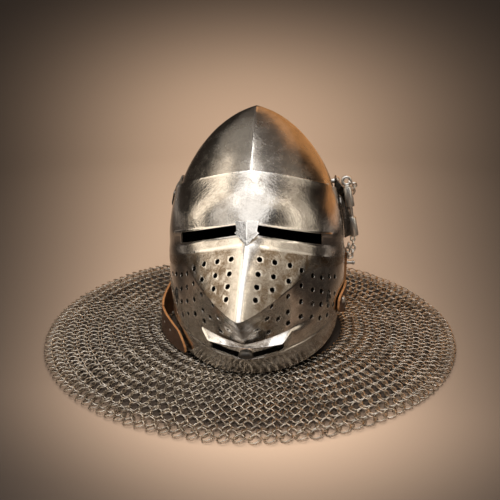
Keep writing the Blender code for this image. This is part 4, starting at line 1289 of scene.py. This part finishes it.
VERVELLES = {
    # angle from the front towards +X, height, reach out of the skull
    "left_high": (99.0, 79.0, 20.5),
    "left_low": (118.0, 22.0, 14.0),
    "left_back": (146.0, 20.0, 14.0),
    "right_back": (-146.0, 20.0, 14.0),
    "right_low": (-118.0, 24.0, 14.0),
    "right_front": (-98.0, 27.0, 12.0),
}
VERVELLE_RADIUS = 3.1
LEATHER_HOLE = 3.6
END_RIVETS = {
    # strip: place along and up it, and the rivet's half length, half width and rise
    "left": [(4.1, 0.62, 4.8, 4.6, 3.0)],
    "right": [(1.0, 0.62, 1.6, 1.6, 1.0), (1.9, 0.60, 1.6, 1.6, 1.0)],
}


def strip_point(stations):
    """A function for a point of the strip's outer face: how far along it is, and its share up."""
    def point(t, share):
        x, y, low, high, lean = smooth_row(stations, t)
        out = Vector((x, y, 0.0)).normalized() * lean * (1 - share)
        return Vector((x, y, low + (high - low) * share)) + out
    return point


def leather_strip(stations, steps, rise, holes=()):
    """A strip of leather through its stations; its cut edges have the second finish."""
    point = strip_point(stations)
    columns = [k / steps for k in range((len(stations) - 1) * steps + 1)]
    rows = [k / rise for k in range(rise + 1)]
    bm = grid_sheet(columns, rows)
    for at in holes:
        punch_hole(bm, point, at, LEATHER_HOLE, columns, rows)
    shape_sheet(bm, point)
    outer = len(bm.verts)
    bm = thicken(bm, LEATHER_THICK)
    bm.verts.index_update()
    for face in bm.faces:
        sides = {vert.index < outer for vert in face.verts}
        face.material_index = 1 if len(sides) == 2 else 0
    return bm


def place_in_strip(stations, start, way):
    """Where along and up a strip a peg's line passes through it."""
    point = strip_point(stations)
    near = None
    for i in range((len(stations) - 1) * 20 + 1):
        for j in range(41):
            offset = point(i / 20, j / 40) - start
            miss = (offset - way * offset.dot(way)).length
            if offset.dot(way) > 0 and (near is None or miss < near[0]):
                near = (miss, i / 20, j / 40)
    return near


def dome(place, way, up, long, wide, rise):
    """A low domed rivet head, longer along up."""
    outline = [(rise * math.sin(a), math.cos(a)) for a in [math.radians(18 * k) for k in range(6)]]
    bm = turned(outline, Vector(), (0, 0, 1), 24)
    bmesh.ops.scale(bm, vec=(wide, long, 1.0), verts=bm.verts)
    side = up.cross(way).normalized()
    turn = Matrix((side, way.cross(side).normalized(), way)).transposed().to_4x4()
    bmesh.ops.transform(bm, matrix=Matrix.Translation(place) @ turn, verts=bm.verts)
    return bm


def vervelle_ends(angle, z, reach):
    """A peg's foot, just clear of the skull, and its outer end."""
    foot = skull_point(math.radians(angle), z)
    out = Vector((foot.x, foot.y - 8.0, 0.0)).normalized()
    return foot + out * 0.4, foot + out * reach


def build_leather():
    """The strip with its peg holes, and its two ends."""
    holes = []
    for angle, z, reach in VERVELLES.values():
        start, end = vervelle_ends(angle, z, reach)
        miss, t, share = place_in_strip(BAND_STATIONS, start, (end - start).normalized())
        if miss < 2.0:
            holes.append((t, share))
    band = leather_strip(BAND_STATIONS, 8, 12, holes)
    finishes = [LEATHER, LEATHER_EDGE]
    add_piece("leather_strap", band, finishes, "helmet", ["leather_band"], bevel=0.5)
    for word, stations in (("left", LEFT_END_STATIONS), ("right", RIGHT_END_STATIONS)):
        bm = leather_strip(stations, 10, 12)
        point = strip_point(stations)
        for t, share, long, wide, rise in END_RIVETS[word]:
            place = point(t, share)
            along = point(t + 0.05, share) - point(t - 0.05, share)
            up = (point(t, share + 0.05) - point(t, share - 0.05)).normalized()
            way = along.cross(up).normalized()
            if way.dot(Vector((place.x, place.y, 0.0))) < 0:
                way = -way
            rivet = dome(place - way * 0.3, way, up, long, wide, rise)
            for face in rivet.faces:
                face.material_index = 2
            add_mesh(bm, rivet)
        name = f"leather_end_{word}"
        finishes = [LEATHER, LEATHER_EDGE, HINGE_STEEL]
        end = add_piece(f"strap_end_{word}", bm, finishes, "helmet", [name], bevel=0.5)
        seam, tip = HELMET @ point(0.0, 0.5), HELMET @ point(len(stations) - 1.0, 0.5)
        tuple(seam)
        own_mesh(end)


def build_vervelles():
    """Turned pegs through the leather, each with a flanged, hollow end."""
    for word, (angle, z, reach) in VERVELLES.items():
        start, end = vervelle_ends(angle, z, reach)
        length = (end - start).length
        shaft = [(0.0, 0.0), (0.0, 1.0), (1.0, 1.0), (1.6, 0.76)]
        flange = [(-3.0, 0.76), (-2.6, 0.94), (-1.6, 1.0), (-0.5, 1.0), (0.0, 0.85)]
        hollow = [(0.0, 0.4), (-3.0, 0.36), (-3.2, 0.0)]
        outline = [(x, r * VERVELLE_RADIUS) for x, r in shaft]
        outline += [(length + x, r * VERVELLE_RADIUS) for x, r in flange + hollow]
        peg = turned(outline, start, end - start, 32)
        add_piece(f"peg_{word}", peg, [HINGE_STEEL], "helmet", [f"vervelle_{word}"])


# ---------------------------------------------------------------- mail

MAIL_EDGE = [
    # angle from the front towards +X, distance of the mail's inner edge from the helmet's axis
    (-180.0, 115.5), (-150.0, 114.5), (-120.0, 113.0), (-105.0, 116.0), (-90.0, 118.0),
    (-75.0, 116.0), (-60.0, 112.0), (-30.0, 116.0), (0.0, 118.0), (30.0, 115.0), (60.0, 109.0),
    (90.0, 106.0), (120.0, 109.0), (150.0, 113.5), (180.0, 115.5),
]
MAIL_RING = (6.0, 0.78)            # mean radius and wire radius of a mail ring
MAIL_ROWS = 20
MAIL_PITCH = (9.5, 12.05)          # from ring to ring, in the inner row and at the rim
MAIL_TILT = [(0.0, 15.0), (0.15, 18.0), (0.4, 25.0), (0.85, 25.0), (1.0, 19.0)]
MAIL_PIECES = {"mail_inner_rows": (0, 7), "mail_middle_rows": (7, 14), "mail_outer_rows": (14, 20)}


def mail_place(turn, share):
    """Where a mail ring's middle lies, flat, and the way out from the helmet; turn is from 0 to 1."""
    degrees = turn * 360.0 - 180.0
    a = math.radians(degrees)
    inner = from_table(MAIL_EDGE, degrees)[0] + MAIL_RING[0]
    outer = MAIL_RADIUS - MAIL_RING[0] - MAIL_RING[1]
    start = Vector((STAND.x, 0.0, 0.0)) + facing(a) * inner
    end = facing(a) * outer
    return start.lerp(end, share), (end - start).normalized()


def shorter_way(a, b):
    """The shorter way round from b to a, in turns."""
    return (a - b + 0.5) % 1.0 - 0.5


def mail_rows():
    """The turn of every ring, row by row. A ring lies between two rings of the row before it, and
    where a row needs more rings an added one shares a ring with its neighbours."""
    rows = []
    for k in range(MAIL_ROWS):
        share = k / (MAIL_ROWS - 1)
        circle = [mail_place(n / 72, share)[0] for n in range(73)]
        length = sum((a - b).length for a, b in zip(circle, circle[1:]))
        count = round(length / (MAIL_PITCH[0] + (MAIL_PITCH[1] - MAIL_PITCH[0]) * share))
        if not rows:
            rows.append([n / count for n in range(count)])
            continue
        before = rows[-1]
        held = [(a + ((b - a) % 1.0) / 2) % 1.0 for a, b in zip(before, before[1:] + before[:1])]
        extra = max(count - len(before), 0)
        for n in range(extra):
            held.append(before[int((n + (k * 0.382) % 1.0) / extra * len(before)) % len(before)])
        held.sort()
        most = 0.22 / len(held)
        place = held[:]
        for _ in range(14):
            around = zip(place[-1:] + place[:-1], place, place[1:] + place[:1])
            middle = [(shorter_way(a, p) + shorter_way(b, p)) / 2 for a, p, b in around]
            place = [h + min(max(shorter_way(p + 0.4 * m, h), -most), most)
                     for h, p, m in zip(held, place, middle)]
        rows.append(sorted(p % 1.0 for p in place))
    return rows


def build_mail():
    """Rings of round wire, each through two in the next row, leaning one way and the other by turns."""
    major, minor = MAIL_RING
    bm = closed_ring(major, minor, 16, 5, Matrix.Identity(4))
    ring = bpy.data.meshes.new("mail_ring")
    bm.to_mesh(ring)
    bm.free()
    ring.attributes.new("ring_tone", "FLOAT", "POINT")
    count = len(ring.vertices)
    chance = random.Random(11)
    rows = mail_rows()
    for name, (first, last) in MAIL_PIECES.items():
        bm = bmesh.new()
        for k in range(first, last):
            share = k / (MAIL_ROWS - 1)
            tilt = from_table(MAIL_TILT, share)[0]
            for turn in rows[k]:
                place, out = mail_place(turn, share)
                lean = math.radians(tilt + chance.uniform(-3.0, 3.0)) * (1 if k % 2 else -1)
                place.z = major * math.sin(abs(lean)) + minor + chance.uniform(0.0, 0.35)
                place += out * chance.uniform(-0.35, 0.35)
                around = Vector((-out.y, out.x, 0.0))
                pose = Matrix((out, around, Vector((0, 0, 1)))).transposed().to_4x4()
                pose = pose @ Matrix.Rotation(lean, 4, "X")
                pose = pose @ Matrix.Rotation(math.radians(chance.uniform(-4.0, 4.0)), 4, "Y")
                pose = pose @ Matrix.Rotation(chance.uniform(0, 6.3), 4, "Z")
                copy = ring.copy()
                copy.transform(Matrix.Translation(place) @ pose)
                tone = chance.uniform(0.0, 1.0) ** 2 * 0.8
                copy.attributes["ring_tone"].data.foreach_set("value", [tone] * count)
                bm.from_mesh(copy)
                bpy.data.meshes.remove(copy)
        add_piece(name, bm, [MAIL_STEEL], "helmet", ["aventail_mail"],
                  matrix=Matrix.Scale(MM, 4), smooth=90)
    bpy.data.meshes.remove(ring)


set_camera()
build_studio()
build_skull()
build_visor()
build_nose_piece()
build_mouth_boss()
build_stud(1, "left")
build_stud(-1, "right")
build_hinge()
build_plain_arm()
build_chain()
build_leather()
build_vervelles()
build_mail()
